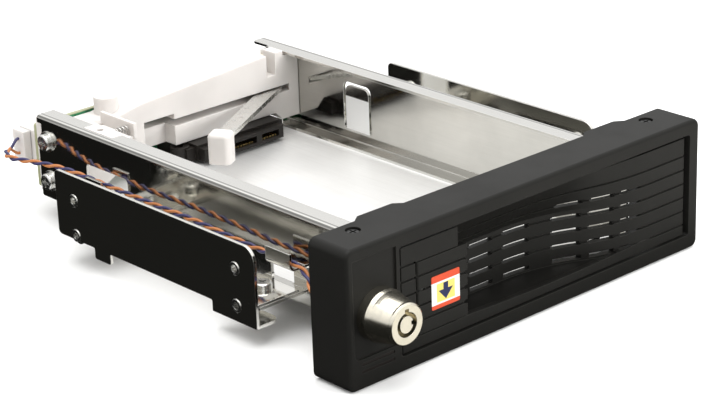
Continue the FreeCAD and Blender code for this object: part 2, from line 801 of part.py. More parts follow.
def door_panel():
    skin = scoop_band(0, door_skin, door_low, door_high)
    # floor of the scoop: everything under the skin's plan shape
    back = scoop_edges(scoop_depth, scoop_depth, door_skin, door_low)
    corners = [
        back[-1].lastVertex().Point,
        V(door_right - 6, door_front, door_low),
        V(scoop_left, door_front, door_low),
    ]
    corners.append(back[0].firstVertex().Point)
    rim = [Part.LineSegment(a, b).toShape() for a, b in zip(corners, corners[1:])]
    floor = Part.Face(Part.Wire(back + rim)).extrude(V(0, 0, floor_height))
    inner_left = scoop_left - door_skin
    latch_rest_y = door_front + latch_skin + latch_gap
    pieces = [
        skin,
        floor,
        # front lip under the scoop, and the wall at the scoop's left end
        box(
            scoop_left - 1, door_right - 7, door_front, door_front + door_skin,
            door_low, door_low + lip_height,
        ),
        box(inner_left, scoop_left, latch_rest_y, door_front + scoop_depth + door_skin, door_low, door_high),
        box(inner_left, scoop_left, door_front, door_front + scoop_depth, door_low, latch_low - latch_gap),
        box(inner_left, scoop_left, door_front, door_front + scoop_depth, latch_high + latch_gap, door_high),
    ]
    # hinge end, round at the back so that it turns inside the opening
    end = [
        (door_right - 9, door_front),
        (door_right, door_front, 0.5),
        (door_right, door_front + door_end_depth, 2.2),
        (door_right - 7, door_front + door_end_depth),
        (door_right - 9, door_front + door_skin),
    ]
    pieces.append(slab(end, "XY", door_low, door_high))
    # left block: bands above and below the latch, a strip beside it and a tray behind it
    strip_right = latch_left - latch_swing_gap
    ledge_left = latch_pin_x - latch_hub_radius - 0.6
    ledge_back = rim_back + ledge_thickness
    pieces += [
        box(door_left, scoop_left, door_front, door_front + door_skin, door_low, latch_low - latch_gap),
        box(door_left, scoop_left, door_front, door_front + door_skin, latch_high + latch_gap, door_high),
        box(door_left, strip_right, door_front, door_front + door_skin, door_low, door_high),
        box(door_left, keeper_left, door_front, rim_back, door_low, door_high),
        box(door_left, scoop_left, door_front, rim_back, door_low, door_low + ledge_thickness),
        box(door_left, scoop_left, door_front, rim_back, door_high - ledge_thickness, door_high),
        box(ledge_left, scoop_left, door_front, ledge_back, door_low, door_low + ledge_thickness),
        box(ledge_left, scoop_left, door_front, ledge_back, door_high - ledge_thickness, door_high),
        box(latch_pin_x + 4.5, scoop_left, rim_back - 0.4, ledge_back, door_low, door_high),
    ]
    # stakes that hold the keeper
    for z in stake_heights():
        foot, tip = (stake_x(), door_front + door_skin - 0.1, z), (stake_x(), stake_back(), z)
        pieces.append(rod(stake_radius, foot, tip))
    # ears that hold the latch's pin
    for low, high in ((door_low, latch_low - latch_gap), (latch_high + latch_gap, door_high)):
        pieces.append(box(ledge_left, latch_pin_x + 2.2, door_front, ledge_back, low, high))
    door = fuse(pieces)
    tools = [
        rod(hinge_pin_radius + running_gap, (hinge_x, hinge_y, 0), (hinge_x, hinge_y, bezel_height)),
        latch_pin(),
    ]
    # the lip dips in an arc between its ends
    lip_z = door_low + lip_height
    middle = (scoop_left + scoop_right) / 2
    arc_left, arc_right = V(scoop_left + 4, -1, lip_z), V(scoop_right - 4, -1, lip_z)
    arc = Part.Arc(arc_left, V(middle, -1, lip_z - lip_dip), arc_right)
    chord = Part.LineSegment(arc_right, arc_left)
    outline = Part.Face(Part.Wire([arc.toShape(), chord.toShape()]))
    dip = outline.extrude(V(0, door_front + door_skin + 1.01, 0))
    tools.append(dip)
    # windows in the left rim for the latch's two hooks
    for low in hook_lows():
        tools.append(
            box(
                door_left - 1, door_left + 2, hook_front - 0.6, rim_back + 1,
                low - latch_gap, low + hook_height + latch_gap,
            )
        )
    # grooves and slots
    for i, z in enumerate(row_heights):
        low, high = z - groove_height / 2, z + groove_height / 2
        tools.append(box(scoop_right, door_right + 1, -1, door_front + groove_depth, low, high))
        tools.append(box(door_left - 1, strip_right + 0.1, -1, door_front + groove_depth, low, high))
        if i:
            tools.append(scoop_band(-3, groove_depth, low, high))
        low, high = z - slot_height / 2, z + slot_height / 2
        # the lowest slots stand just above the scoop's floor
        shift = max(floor_height + door_low + slot_height / 2 + 0.05 - z, 0) if i == 0 else 0
        for left, right, rows in slot_columns:
            if i < rows:
                tools.append(
                    box(
                        scoop_flat_right + left, scoop_flat_right + right, door_front + 0.7, bezel_depth,
                        low + shift, high + shift,
                    )
                )
    return solid_of(cut(door, tools))


def stake_x():
    return keeper_left + keeper_foot - 1.3


def stake_heights():
    return (lock_z - 3.0, lock_z + 5.0)


def stake_back():
    return door_front + door_skin + keeper_sheet + 0.6


def door_keeper():
    """Bent strip behind the door's left rim, with a window that the lock's cam turns into."""
    front = door_front + door_skin
    low = lock_z - cam_width / 2 - keeper_gap
    high = hook_lows()[1] - strike_gap - keeper_gap / 4
    strip = box(keeper_left, keeper_left + keeper_sheet, front, keeper_back, low - keeper_wall, high)
    foot = box(keeper_left, keeper_left + keeper_foot, front, front + keeper_sheet, low - keeper_wall, high)
    window = box(
        keeper_left - 1, keeper_left + keeper_sheet + 0.1, cam_front - keeper_gap, cam_back + keeper_gap,
        low, high - keeper_wall,
    )
    holes = [rod(stake_radius, (stake_x(), front - 1, z), (stake_x(), front + 3, z)) for z in stake_heights()]
    return solid_of(cut(fuse([strip, foot]), [window] + holes))


def door_hinge_pin():
    return rod(hinge_pin_radius, (hinge_x, hinge_y, 1.2), (hinge_x, hinge_y, bezel_height - 1.2))


# ---- finger latch -------------------------------------------------------------------------


def hook_lows():
    return (latch_low + 0.3, latch_high - 0.3 - hook_height)


def latch_lever():
    back = door_front + latch_skin
    cover = [
        (latch_left, door_front, latch_edge_round),
        (latch_right, door_front),
        (latch_right, back),
        (latch_left, back, 0.4),
    ]
    pieces = [slab(cover, "XY", latch_low, latch_high)]
    tip = opening_left - hook_reach
    hook_back = hook_front + hook_thickness
    middle = (latch_low + latch_high) / 2
    half_gap = latch_spring_room / 2
    hub_left, hub_right = latch_pin_x - latch_hub_radius, latch_pin_x + latch_hub_radius
    for low, high in ((latch_low, middle - half_gap), (middle + half_gap, latch_high)):
        foot, top = (latch_pin_x, latch_pin_y, low), (latch_pin_x, latch_pin_y, high)
        pieces.append(rod(latch_hub_radius, foot, top))
    for low in hook_lows():
        high = low + hook_height
        hook = [
            (tip, hook_front + 0.5),
            (tip + 0.8, hook_front),
            (hub_right, hook_front),
            (hub_right, hook_back),
            (tip, hook_back),
        ]
        pieces.append(slab(hook, "XY", low, high))
        pieces.append(box(hub_left, hub_right, latch_pin_y, hook_back, low, high))
    lever = fuse(pieces)
    foot, top = (latch_pin_x, latch_pin_y, 0), (latch_pin_x, latch_pin_y, bezel_height)
    tools = [rod(latch_pin_radius + running_gap, foot, top)]
    # room for the spring between the hubs
    foot, top = (latch_pin_x, latch_pin_y, middle - half_gap), (latch_pin_x, latch_pin_y, middle + half_gap)
    spring_room = rod(latch_hub_radius + 0.3, foot, top)
    tools.append(spring_room.cut(box(hub_left - 1, hub_right + 1, -1, door_front + 0.4, 0, bezel_height)))
    groove = groove_height / 2
    for z in row_heights[1:-1]:
        low, high = z - groove, z + groove
        tools.append(box(latch_left - 1, latch_right + 1, -1, door_front + groove_depth, low, high))
        low, high = z - slot_height / 2, z + slot_height / 2
        tools.append(box(latch_right - 1.0, latch_right + 1, -1, back + 1, low, high))
    return solid_of(cut(lever, tools))


def latch_pin():
    low, high = door_low + 0.8, door_high - 0.8
    return rod(latch_pin_radius, (latch_pin_x, latch_pin_y, low), (latch_pin_x, latch_pin_y, high))


def latch_spring():
    middle = (latch_low + latch_high) / 2
    turns = 3.0
    pitch = 1.2
    start = (latch_pin_x, latch_pin_y, middle - pitch * turns / 2)
    return coil(latch_spring_radius, latch_spring_wire, pitch, turns, start, (0, 0, 1))


# ---- key lock -----------------------------------------------------------------------------


def lock_body():
    face = -lock_stand_out
    profile = [
        V(0, face, 0),
        V(lock_face_radius - 0.5, face, 0),
        V(lock_face_radius, face + 0.5, 0),
        V(lock_face_radius, face + 1.2, 0),
        V(lock_collar_radius - 0.4, -lock_collar_straight - 1.2, 0),
        V(lock_collar_radius, -lock_collar_straight, 0),
        V(lock_collar_radius, lock_seat, 0),
        V(lock_barrel_radius, lock_seat, 0),
        V(lock_barrel_radius, lock_barrel_back, 0),
        V(0, lock_barrel_back, 0),
    ]
    section = Part.Face(Part.makePolygon(profile + [profile[0]]))
    body = section.revolve(V(0, 0, 0), V(0, 1, 0), 360)
    body.translate(V(lock_x, 0, lock_z))
    bore = rod(keyway_outer_radius, (lock_x, face - 1, lock_z), (lock_x, lock_barrel_back + 1, lock_z))
    notch = box(
        lock_x - keyway_notch / 2, lock_x + keyway_notch / 2, face - 1, face + 2.0,
        lock_z, lock_z + keyway_outer_radius + 1.0,
    )
    return solid_of(cut(body, [bore, notch]))


def lock_plug():
    face = -lock_stand_out
    shoulder = face + keyway_depth
    half = cam_square / 2
    post = rod(keyway_post_radius, (lock_x, face + 0.2, lock_z), (lock_x, shoulder + 0.5, lock_z))
    core = rod(keyway_outer_radius - running_gap, (lock_x, shoulder, lock_z), (lock_x, cam_front, lock_z))
    square = box(lock_x - half, lock_x + half, lock_barrel_back, cam_back, lock_z - half, lock_z + half)
    screw_hole = rod(1.0, (lock_x, cam_back - 6, lock_z), (lock_x, cam_back + 1, lock_z))
    side = lock_x + keyway_post_radius
    key_slot = box(side - 0.7, side + 1, face, face + 1.6, lock_z - 0.6, lock_z + 0.6)
    return solid_of(cut(fuse([post, core, square]), [screw_hole, key_slot]))


def lock_cam():
    front = cam_front
    half = cam_width / 2
    points = [
        (lock_x - half, lock_z - half, 2.5),
        (lock_x + half, lock_z - half, 2.5),
        (lock_x + half, lock_z + cam_length * 0.5),
        (lock_x + half - 1.6, lock_z + cam_length, 1.5),
        (lock_x - half + 1.6, lock_z + cam_length, 1.5),
        (lock_x - half, lock_z + cam_length * 0.5),
    ]
    cam = slab(points, "XZ", front, cam_back)
    half = cam_square / 2
    square = box(lock_x - half, lock_x + half, front - 1, front + 5, lock_z - half, lock_z + half)
    return solid_of(cam.cut(square))


def lock_cam_screw():
    place = (lock_x, cam_back, lock_z)
    return pan_screw(2.8, 1.4, 1.0, 4.5, place, (0, 1, 0))


def lock_nut():
    across = lock_nut_flats / 2 / math.cos(math.pi / 6)
    points = []
    for i in range(6):
        turn = math.radians(30 + 60 * i)
        points.append((lock_x + across * math.cos(turn), lock_z + across * math.sin(turn)))
    nut = slab(points, "XZ", bezel_face, bezel_face + lock_nut_thickness)
    return solid_of(nut.cut(rod(lock_barrel_radius, (lock_x, 0, lock_z), (lock_x, 20, lock_z))))


# ---- indicator window, lamp and lead -------------------------------------------------------


def led_window():
    low, high = window_rows[0] - 1.0, window_rows[1] + 1.0
    back = box(window_left, window_right, bezel_face, bezel_face + 1.4, low, high)
    bars = [
        box(window_left, window_right, 0.2, bezel_face + 0.5, z - window_slit / 2, z + window_slit / 2)
        for z in window_rows
    ]
    return solid_of(fuse([back] + bars))


def lamp_height():
    return (window_rows[0] + window_rows[1]) / 2


def lamp():
    front = bezel_face + 1.5
    back = lamp_back - lamp_crimp
    z = lamp_height()
    body = rod(lamp_radius, (lamp_x, front, z), (lamp_x, back, z))
    body = fillet_where(body, lamp_radius * 0.9, lambda e: e.BoundBox.YMax < front + 0.01)
    flange = rod(lamp_radius + 0.3, (lamp_x, back - 0.8, z), (lamp_x, back, z))
    return solid_of(fuse([body, flange]))


def lead_route():
    """Route of the twisted pair, from the lamp along the left wall to the plug behind the board."""
    z = lamp_height()
    wall = -outer_half
    return [
        (lamp_x, lamp_back, z),
        (lamp_x, lamp_back + 6.0, z),
        (-63.2, 22.0, 8.8),
        (-62.0, 27.8, 13.6),
        (-59.8, 32.4, 18.8),
        (wall - 3.9, 37.8, 21.9),
        (wall - 3.5, 46.4, 22.5),
        (wall - 3.6, 58.0, 22.1),
        (wall - 3.7, 72.0, 22.6),
        (wall - 3.5, 88.0, 23.1),
        (wall - 3.7, 104.0, 23.0),
        (wall - 3.4, 119.5, 22.7),
        (wall - 3.6, 133.5, 22.9),
        (wall - 3.8, 146.0, 23.1),
        (wall - 5.0, 157.5, 23.5),
        (wall - 7.1, 166.5, 23.4),
        (wall - 9.1, 173.0, 23.2),
        (wall - 9.9, 177.2, plug_z),
        (wall - 9.9, plug_y - 5.84, plug_z),
        (wall - 8.79, plug_y - 3.16, plug_z),
        (wall - 6.74, plug_y - 1.11, plug_z),
        (wall - 4.06, plug_y, plug_z),
        (plug_left, plug_y, plug_z),
    ]


# ---- rear frame ---------------------------------------------------------------------------


def rear_frame():
    end_x = inner_half - frame_end_gap
    top_under_flange = flange_low - 0.5
    front = frame_front_y
    back = frame_back_y
    face = slab(
        [
            (-end_x, frame_low),
            (beam_left - 4, frame_low),
            (beam_left + 6, beam_low),
            (panel_left + 1.6, beam_low),
            (panel_left + 4.6, panel_low),
            (end_x, panel_low),
            (end_x, top_under_flange),
            (flange_inner - 1, top_under_flange),
            (flange_inner - 1, flange_high + 0.6),
            (panel_left, flange_high + 0.4),
            (slot_left, flange_low - 2.2),
            (beam_left, flange_low - 4.5),
            (-flange_inner + 1, flange_low - 4.5),
            (-flange_inner + 1, top_under_flange),
            (-end_x, top_under_flange),
        ],
        "XZ",
        front,
        back,
    )
    # hollow from behind, leaving a front wall, a rim and upright ribs
    deep = front + 6.6
    pockets = []
    rib_spots = [-end_x + 9, -34.0, -20.0, -6.0, 8.0, 22.0, arm_pivot_x - 6.5]
    for left, right in zip(rib_spots, rib_spots[1:]):
        pockets.append(box(left + 0.8, right - 0.8, deep, back + 1, slot_high + 3.1, flange_low - 6.6))
        pockets.append(box(left + 0.8, right - 0.8, deep, back + 1, beam_low + frame_wall, slot_low - 2.0))
    # the arm's slot and the recess that takes its bumper when the arm is pushed back
    swing = box(slot_left, arm_pivot_x + 1.0, front - 1, back + 1, slot_low, slot_high)
    swing_end = rod(5.4, (arm_pivot_x, arm_pivot_y, slot_low), (arm_pivot_x, arm_pivot_y, slot_high))
    recess_x = arm_pivot_x - arm_length * math.cos(math.radians(7))
    recess = box(recess_x - 6.6, recess_x + 6.4, front - 1, front + 5.6, beam_low - 1, bumper_high + 0.8)
    body = cut(face, pockets + [swing, swing_end, recess])
    cradle_right = cradle_left + cradle_width
    cheek_low, cheek_high = flange_low - 6, flange_low - 0.8
    boss_x, boss_y = beam_left + 3.5, back - 4.4
    pieces = [
        body,
        # arm that runs forward along the left wall, level with the flange
        box(arm_left, arm_left + 8.0, frame_arm_front_y, front + 1, flange_low - 7, flange_low - 0.6),
        box(arm_left, -flange_inner + 0.6, frame_arm_front_y, frame_arm_show_y, flange_low - 1, flange_high),
        # boss behind the left end
        rod(4.2, (boss_x, boss_y, beam_low + 6), (boss_x, boss_y, flange_high + 0.4)),
        # cradle for the small coil spring
        box(cradle_left, cradle_right, cradle_front_y, front + 1, flange_low - 7, flange_low - 5.4),
        box(
            cradle_left, cradle_left + cradle_wall, cradle_front_y - 0.4, cradle_front_y + 6.4,
            cheek_low, cheek_high,
        ),
        box(cradle_right - cradle_wall, cradle_right, cradle_front_y - 0.4, front + 1, cheek_low, cheek_high),
    ]
    body = fuse(pieces)
    foot, top = (arm_pivot_x, arm_pivot_y, beam_low + 1.2), (arm_pivot_x, arm_pivot_y, slot_high + 7)
    tools = [rod(arm_pin_radius, foot, top)]
    show_hole_x = arm_left + 2.4
    tools.append(rod(1.2, (show_hole_x, 148.0, flange_low - 3), (show_hole_x, 148.0, flange_high + 1)))
    for side in (1, -1):
        for z in frame_screw_z:
            start, end = side * (end_x - frame_screw_length), side * (end_x + 1)
            tools.append(rod(frame_screw_shank, (start, frame_screw_y, z), (end, frame_screw_y, z)))
    # notch in the top beside the right panel, with room behind it for the board's header
    notch_left = panel_left - 1.6
    tools.append(box(notch_left, notch_left + 4.0, front - 1, back + 1, header_low + 2, flange_high + 2))
    tools.append(
        box(
            notch_left, notch_left + 7.6, board_y - header_reach - 0.4, back + 1,
            header_low - 0.4, flange_high + 2,
        )
    )
    for x in board_screw_spots():
        tools.append(rod(board_screw_radius, (x, back - 5.5, board_screw_z), (x, back + 1, board_screw_z)))
    return solid_of(cut(body, tools))


def frame_spring():
    turns = 5.0
    pitch = (cradle_width - 2 * cradle_wall - 2 * frame_spring_wire - 0.1) / turns
    start = cradle_left + cradle_wall + frame_spring_wire + 0.05
    place = (start, cradle_front_y + 3.0, flange_low - 3.5)
    return coil(frame_spring_radius, frame_spring_wire, pitch, turns, place, (1, 0, 0))


def frame_screws():
    screws = []
    for side in (1, -1):
        for z in frame_screw_z:
            place = (side * (outer_half + washer_thickness), frame_screw_y, z)
            screw = pan_screw(
                frame_screw_head_radius, frame_screw_head, frame_screw_shank, frame_screw_length,
                place, (side, 0, 0),
            )
            screws.append(screw)
    return Part.makeCompound(screws)


def frame_washers():
    washers = []
    for side in (1, -1):
        for z in frame_screw_z:
            start = (side * outer_half, frame_screw_y, z)
            end = (side * (outer_half + washer_thickness), frame_screw_y, z)
            inside, outside = side * (outer_half - 1), side * (outer_half + 2)
            hole = rod(frame_screw_radius, (inside, frame_screw_y, z), (outside, frame_screw_y, z))
            washers.append(rod(washer_radius, start, end).cut(hole))
    return Part.makeCompound(washers)


# ---- ejector arm --------------------------------------------------------------------------


def arm_placement():
    turn = FreeCAD.Rotation(V(0, 0, 1), arm_rest_angle)
    return FreeCAD.Placement(V(arm_pivot_x, arm_pivot_y, 0), turn)


def arm_low():
    return (slot_low + slot_high - arm_thickness) / 2


def ejector_arm():
    half = arm_width / 2
    low = arm_low()
    points = [(0, -half), (arm_length - 8, -half * 0.9), (arm_length + 2, -half * 0.7, 1.0)]
    points += [(arm_length + 2, half * 0.7, 1.0), (arm_length - 8, half * 0.9), (0, half)]
    arm = slab(points, "XY", low, low + arm_thickness)
    arm = fuse([arm, rod(half, (0, 0, low), (0, 0, low + arm_thickness))])
    arm = arm.cut(rod(arm_pin_radius + running_gap, (0, 0, low - 1), (0, 0, low + 4)))
    arm.Placement = arm_placement()
    return solid_of(arm)


def ejector_bumper():
    long_half = bumper_long / 2
    wide_half = bumper_wide / 2
    start, end = arm_length - long_half, arm_length + long_half
    block = box(start, end, -wide_half, wide_half, bumper_low, bumper_high)
    block = fillet_where(block, 1.8, lambda e: abs(e.tangentAt(e.FirstParameter).z) > 0.9)
    block = fillet_where(block, 1.6, lambda e: e.BoundBox.ZMin > bumper_high - 0.01)
    pocket = box(
        arm_length - long_half - 1, arm_length + 2,
        -arm_width * 0.45 - bumper_fit, arm_width * 0.45 + bumper_fit,
        arm_low(), arm_low() + arm_thickness,
    )
    block = block.cut(pocket)
    block.Placement = arm_placement()
    return solid_of(block)


def ejector_pin():
    low, high = beam_low + 1.2, slot_high + 6
    return rod(arm_pin_radius, (arm_pivot_x, arm_pivot_y, low), (arm_pivot_x, arm_pivot_y, high))


# ---- board and connectors -----------------------------------------------------------------


def backplane_board():
    board = plate(board_left, board_right, board_low, board_high, "XZ", board_y, board_back_y, 1.0)
    holes = [
        rod(1.4, (x, board_y - 1, board_screw_z), (x, board_back_y + 1, board_screw_z))
        for x in board_screw_spots()
    ]
    return solid_of(cut(board, holes))


def board_screw_spots():
    return (connector_left - 11.4, connector_right - 10.7)


def board_screws():
    screws = [
        pan_screw(2.7, 1.7, board_screw_radius, 5.0, (x, board_back_y, board_screw_z), (0, 1, 0))
        for x in board_screw_spots()
    ]
    return Part.makeCompound(screws)


def drive_connector():
    left, right = connector_left, connector_right
    nose = connector_nose_y
    body = slab(
        [
            (left, nose + 4.6),
            (left + 4.4, nose + 4.6),
            (left + 4.4, nose, 0.5),
            (right - 3.2, nose, 0.5),
            (right - 3.2, nose + 4.6),
            (right, nose + 4.6),
            (right, board_y),
            (left, board_y),
        ],
        "XY",
        connector_low,
        connector_high - 1.0,
    )
    hood = box(left + 3.6, right - 2.4, nose + 3.2, board_y, connector_low, connector_high)
    post_x, post_y = left + connector_post_inset, nose + connector_post_reach
    post = rod(connector_post_radius, (post_x, post_y, connector_low), (post_x, post_y, connector_high - 0.6))
    body = fuse([body, hood, post])
    middle = (connector_low + connector_high - 1.0) / 2
    start = left + connector_left_end
    power_end = start + power_width
    signal_start = power_end + port_gap
    signal_end = signal_start + signal_width - signal_mouth_inset
    low, high = middle - port_height / 2, middle + port_height / 2
    tools = [
        box(start, power_end, nose - 1, nose + port_depth, low, high),
        box(signal_start, signal_end, nose - 1, nose + port_depth, low, high),
        rod(connector_post_bore, (post_x, post_y, connector_low - 1), (post_x, post_y, connector_high + 1)),
    ]
    return solid_of(cut(body, tools))


def connector_contacts():
    middle = (connector_low + connector_high - 1.0) / 2
    start = connector_left + connector_left_end
    front, back = connector_nose_y + contact_start, connector_nose_y + port_depth
    signal_start = start + power_width + port_gap
    low = middle - port_height / 2
    blades = []
    ports = (
        (start, power_width, power_contact_margin),
        (signal_start, signal_width - signal_mouth_inset, signal_contact_margin),
    )
    for port_left, port_width, margin in ports:
        count = int((port_width - 2 * margin) / contact_pitch) + 1
        for i in range(count):
            x = port_left + margin + i * contact_pitch
            blades.append(box(x - contact_half, x + contact_half, front, back, low, low + contact_thickness))
    return Part.makeCompound(blades)


def data_connector():
    x, z = board_left + data_inset, data_z
    half, tall = data_width / 2, data_height / 2
    y = board_back_y
    shell = plate(x - half, x + half, z - tall, z + tall, "XZ", y, y + data_reach, 0.8)
    half, tall = half - data_wall, tall - data_wall + 0.1
    mouth = plate(x - half, x + half, z - tall, z + tall, "XZ", y + 2, y + data_reach + 1, 0.4)
    tongue = box(x - half + 1.5, x + half - 1.5, y + 1.8, y + data_reach - 1.2, z - 0.6, z + 0.6)
    return solid_of(fuse([shell.cut(mouth), tongue]))


def outlet_pin_places():
    return [outlet_left + outlet_end + outlet_pitch * i for i in range(4)]


def power_connector():
    right, high, y = outlet_left + outlet_width, outlet_low + outlet_height, board_back_y
    block = box(outlet_left, right, y, y + outlet_reach, outlet_low, high)
    block = fillet_where(
        block, 2.2, lambda e: abs(e.tangentAt(e.FirstParameter).y) > 0.9 and e.CenterOfMass.z > high - 0.1
    )
    deep = y + outlet_mouth_floor
    mouths = [
        rod(outlet_mouth_radius, (x, deep, outlet_middle), (x, y + outlet_reach + 1, outlet_middle))
        for x in outlet_pin_places()
    ]
    return solid_of(cut(block, mouths))


def power_pins():
    start = board_back_y + outlet_mouth_floor
    end = board_back_y + outlet_reach - outlet_pin_short
    z = outlet_middle
    pins = [rod(outlet_pin_radius, (x, start, z), (x, end, z)) for x in outlet_pin_places()]
    return Part.makeCompound(pins)


def board_header():
    """Pin header on the front of the board, seen through the notch in the frame's top."""
    left, right = panel_left - 1.2, panel_left + 5.6
    block = box(left, right, board_y - header_reach, board_y, header_low, header_low + header_height)
    holes = []
    for i in range(3):
        for j in range(2):
            x = left + 1.6 + 1.8 * i
            z = header_low + 2.0 + 2.6 * j
            holes.append(box(x - 0.5, x + 0.5, board_y - header_reach - 1, board_y - 2, z - 0.6, z + 0.6))
    return solid_of(cut(block, holes))


def lead_header():
    """Side-entry header on the back of the board, open towards the left."""
    right = board_left + header_length
    outer = plug_height / 2 + header_wall
    reach = plug_reach / 2 + header_wall
    shell = box(board_left, right, board_back_y, plug_y + reach, plug_z - outer, plug_z + outer)
    mouth = box(
        board_left - 1, right - header_end_wall, plug_y - plug_reach / 2, plug_y + plug_reach / 2,
        plug_z - plug_height / 2, plug_z + plug_height / 2,
    )
    return solid_of(shell.cut(mouth))


def lead_plug():
    half = plug_height / 2 - running_gap
    reach = plug_reach / 2 - running_gap
    seat = board_left + plug_seat
    body = box(plug_left, seat, plug_y - reach, plug_y + reach, plug_z - half, plug_z + half)
    grip_right = board_left - plug_grip_gap
    wide, tall = reach + plug_grip_rim, half + plug_grip_rim
    grip = box(plug_left, grip_right, plug_y - wide, plug_y + wide, plug_z - tall, plug_z + tall)
    latch = box(
        plug_left + plug_latch_inset, grip_right, plug_y + reach, plug_y + reach + plug_latch_rise,
        plug_z - plug_latch_half, plug_z + plug_latch_half,
    )
    return solid_of(fuse([body, grip, latch]))


# ---- all pieces ---------------------------------------------------------------------------

pieces = {
    "chassis": chassis(),
    "left_side_bracket": side_bracket(-1),
    "right_side_bracket": side_bracket(1),
    "left_clinch_nuts": clinch_nuts(-1),
    "right_clinch_nuts": clinch_nuts(1),
    "tie_screws": tie_screws(),
    "bezel_frame": bezel_frame(),
    "bezel_screws": bezel_screws(),
    "door_panel": door_panel(),
    "door_keeper": door_keeper(),
    "door_hinge_pin": door_hinge_pin(),
    "latch_lever": latch_lever(),
    "latch_pin": latch_pin(),
    "latch_spring": latch_spring(),
    "lock_body": lock_body(),
    "lock_plug": lock_plug(),
    "lock_cam": lock_cam(),
    "lock_cam_screw": lock_cam_screw(),
    "lock_nut": lock_nut(),
    "led_window": led_window(),
    "lamp": lamp(),
    "lamp_lead": lead(lead_route(), lead_radius),
    "lead_header": lead_header(),
    "lead_plug": lead_plug(),
    "rear_frame": rear_frame(),
    "frame_spring": frame_spring(),
    "frame_screws": frame_screws(),
    "frame_washers": frame_washers(),
    "ejector_arm": ejector_arm(),
    "ejector_bumper": ejector_bumper(),
    "ejector_pin": ejector_pin(),
    "backplane_board": backplane_board(),
    "board_screws": board_screws(),
    "drive_connector": drive_connector(),
    "connector_contacts": connector_contacts(),
    "data_connector": data_connector(),
    "power_connector": power_connector(),
    "power_pins": power_pins(),
    "board_header": board_header(),
}

os.makedirs("parts", exist_ok=True)
for name, shape in pieces.items():
    shape.exportStep(f"parts/{name}.step")
    print(name, len(shape.Solids), round(shape.Volume, 1), shape.isValid())
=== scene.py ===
# %% [markdown]
# # Dressing a hot swap drive cage
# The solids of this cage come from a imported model: sheet steel, moulded plastic, a lock and a
# circuit board, each already in its true place.  This lesson gives each of them its finish, and
# adds the small things that a solid modeller leaves out: the twisted lead, the label, the parts
# soldered to the board.  X runs right along the bezel, Y to the back, Z up.  Blender works in
# metres here; sizes are written in millimetres and multiplied by MM where Blender needs them.

# %% Load the solids
import json
import math
import bmesh
import bpy
from mathutils import Matrix, Vector


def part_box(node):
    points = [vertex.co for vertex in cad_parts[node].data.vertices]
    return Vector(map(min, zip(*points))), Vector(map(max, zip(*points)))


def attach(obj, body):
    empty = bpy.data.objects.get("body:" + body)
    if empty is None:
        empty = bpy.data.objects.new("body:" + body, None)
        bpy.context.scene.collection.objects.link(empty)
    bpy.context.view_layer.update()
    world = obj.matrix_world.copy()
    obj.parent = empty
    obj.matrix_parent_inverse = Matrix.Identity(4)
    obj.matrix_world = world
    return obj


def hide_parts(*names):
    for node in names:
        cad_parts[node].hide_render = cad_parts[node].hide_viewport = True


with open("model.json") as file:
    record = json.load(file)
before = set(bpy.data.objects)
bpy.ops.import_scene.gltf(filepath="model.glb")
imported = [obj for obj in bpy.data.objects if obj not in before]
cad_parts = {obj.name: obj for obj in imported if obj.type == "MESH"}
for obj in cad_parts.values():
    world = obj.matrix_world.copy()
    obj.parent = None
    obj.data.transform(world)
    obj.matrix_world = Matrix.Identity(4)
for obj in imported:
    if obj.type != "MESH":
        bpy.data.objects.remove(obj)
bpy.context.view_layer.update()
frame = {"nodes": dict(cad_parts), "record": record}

MM = 0.001


def in_mm(box):
    """The lowest and highest corners of a solid, in millimetres."""
    return [[v / MM for v in corner] for corner in box]


# %% [markdown]
# ## Writing shaders as sums
# A finish is mostly arithmetic on masks: "scuffs times wear, plus grain".  In Blender each of
# those signs is a Math node, which is slow to wire by hand.  The class below wraps one output of
# a node, so that ordinary Python signs add the Math nodes for us.

# %% A socket that can be added and multiplied
class Wire:
    """One output of a shader node.  The signs + - * > < on it add Math nodes."""

    def __init__(self, finish, socket):
        self.finish = finish
        self.socket = socket

    def sum(self, operation, first, second):
        return self.finish.add("Math", {"operation": operation}, {0: first, 1: second})

    def __add__(self, other):
        return self.sum("ADD", self, other)

    def __radd__(self, other):
        return self.sum("ADD", other, self)

    def __sub__(self, other):
        return self.sum("SUBTRACT", self, other)

    def __rsub__(self, other):
        return self.sum("SUBTRACT", other, self)

    def __mul__(self, other):
        return self.sum("MULTIPLY", self, other)

    def __rmul__(self, other):
        return self.sum("MULTIPLY", other, self)

    def __gt__(self, other):
        return self.sum("GREATER_THAN", self, other)

    def __lt__(self, other):
        return self.sum("LESS_THAN", self, other)


# %% A material that is built node by node
SOCKETS = {
    "base_color": "Base Color", "roughness": "Roughness", "metallic": "Metallic", "normal": "Normal",
    "ior": "IOR", "specular": "Specular IOR Level", "coat": "Coat Weight",
    "subsurface": "Subsurface Weight", "subsurface_scale": "Subsurface Scale",
    "subsurface_radius": "Subsurface Radius", "transmission": "Transmission Weight",
}


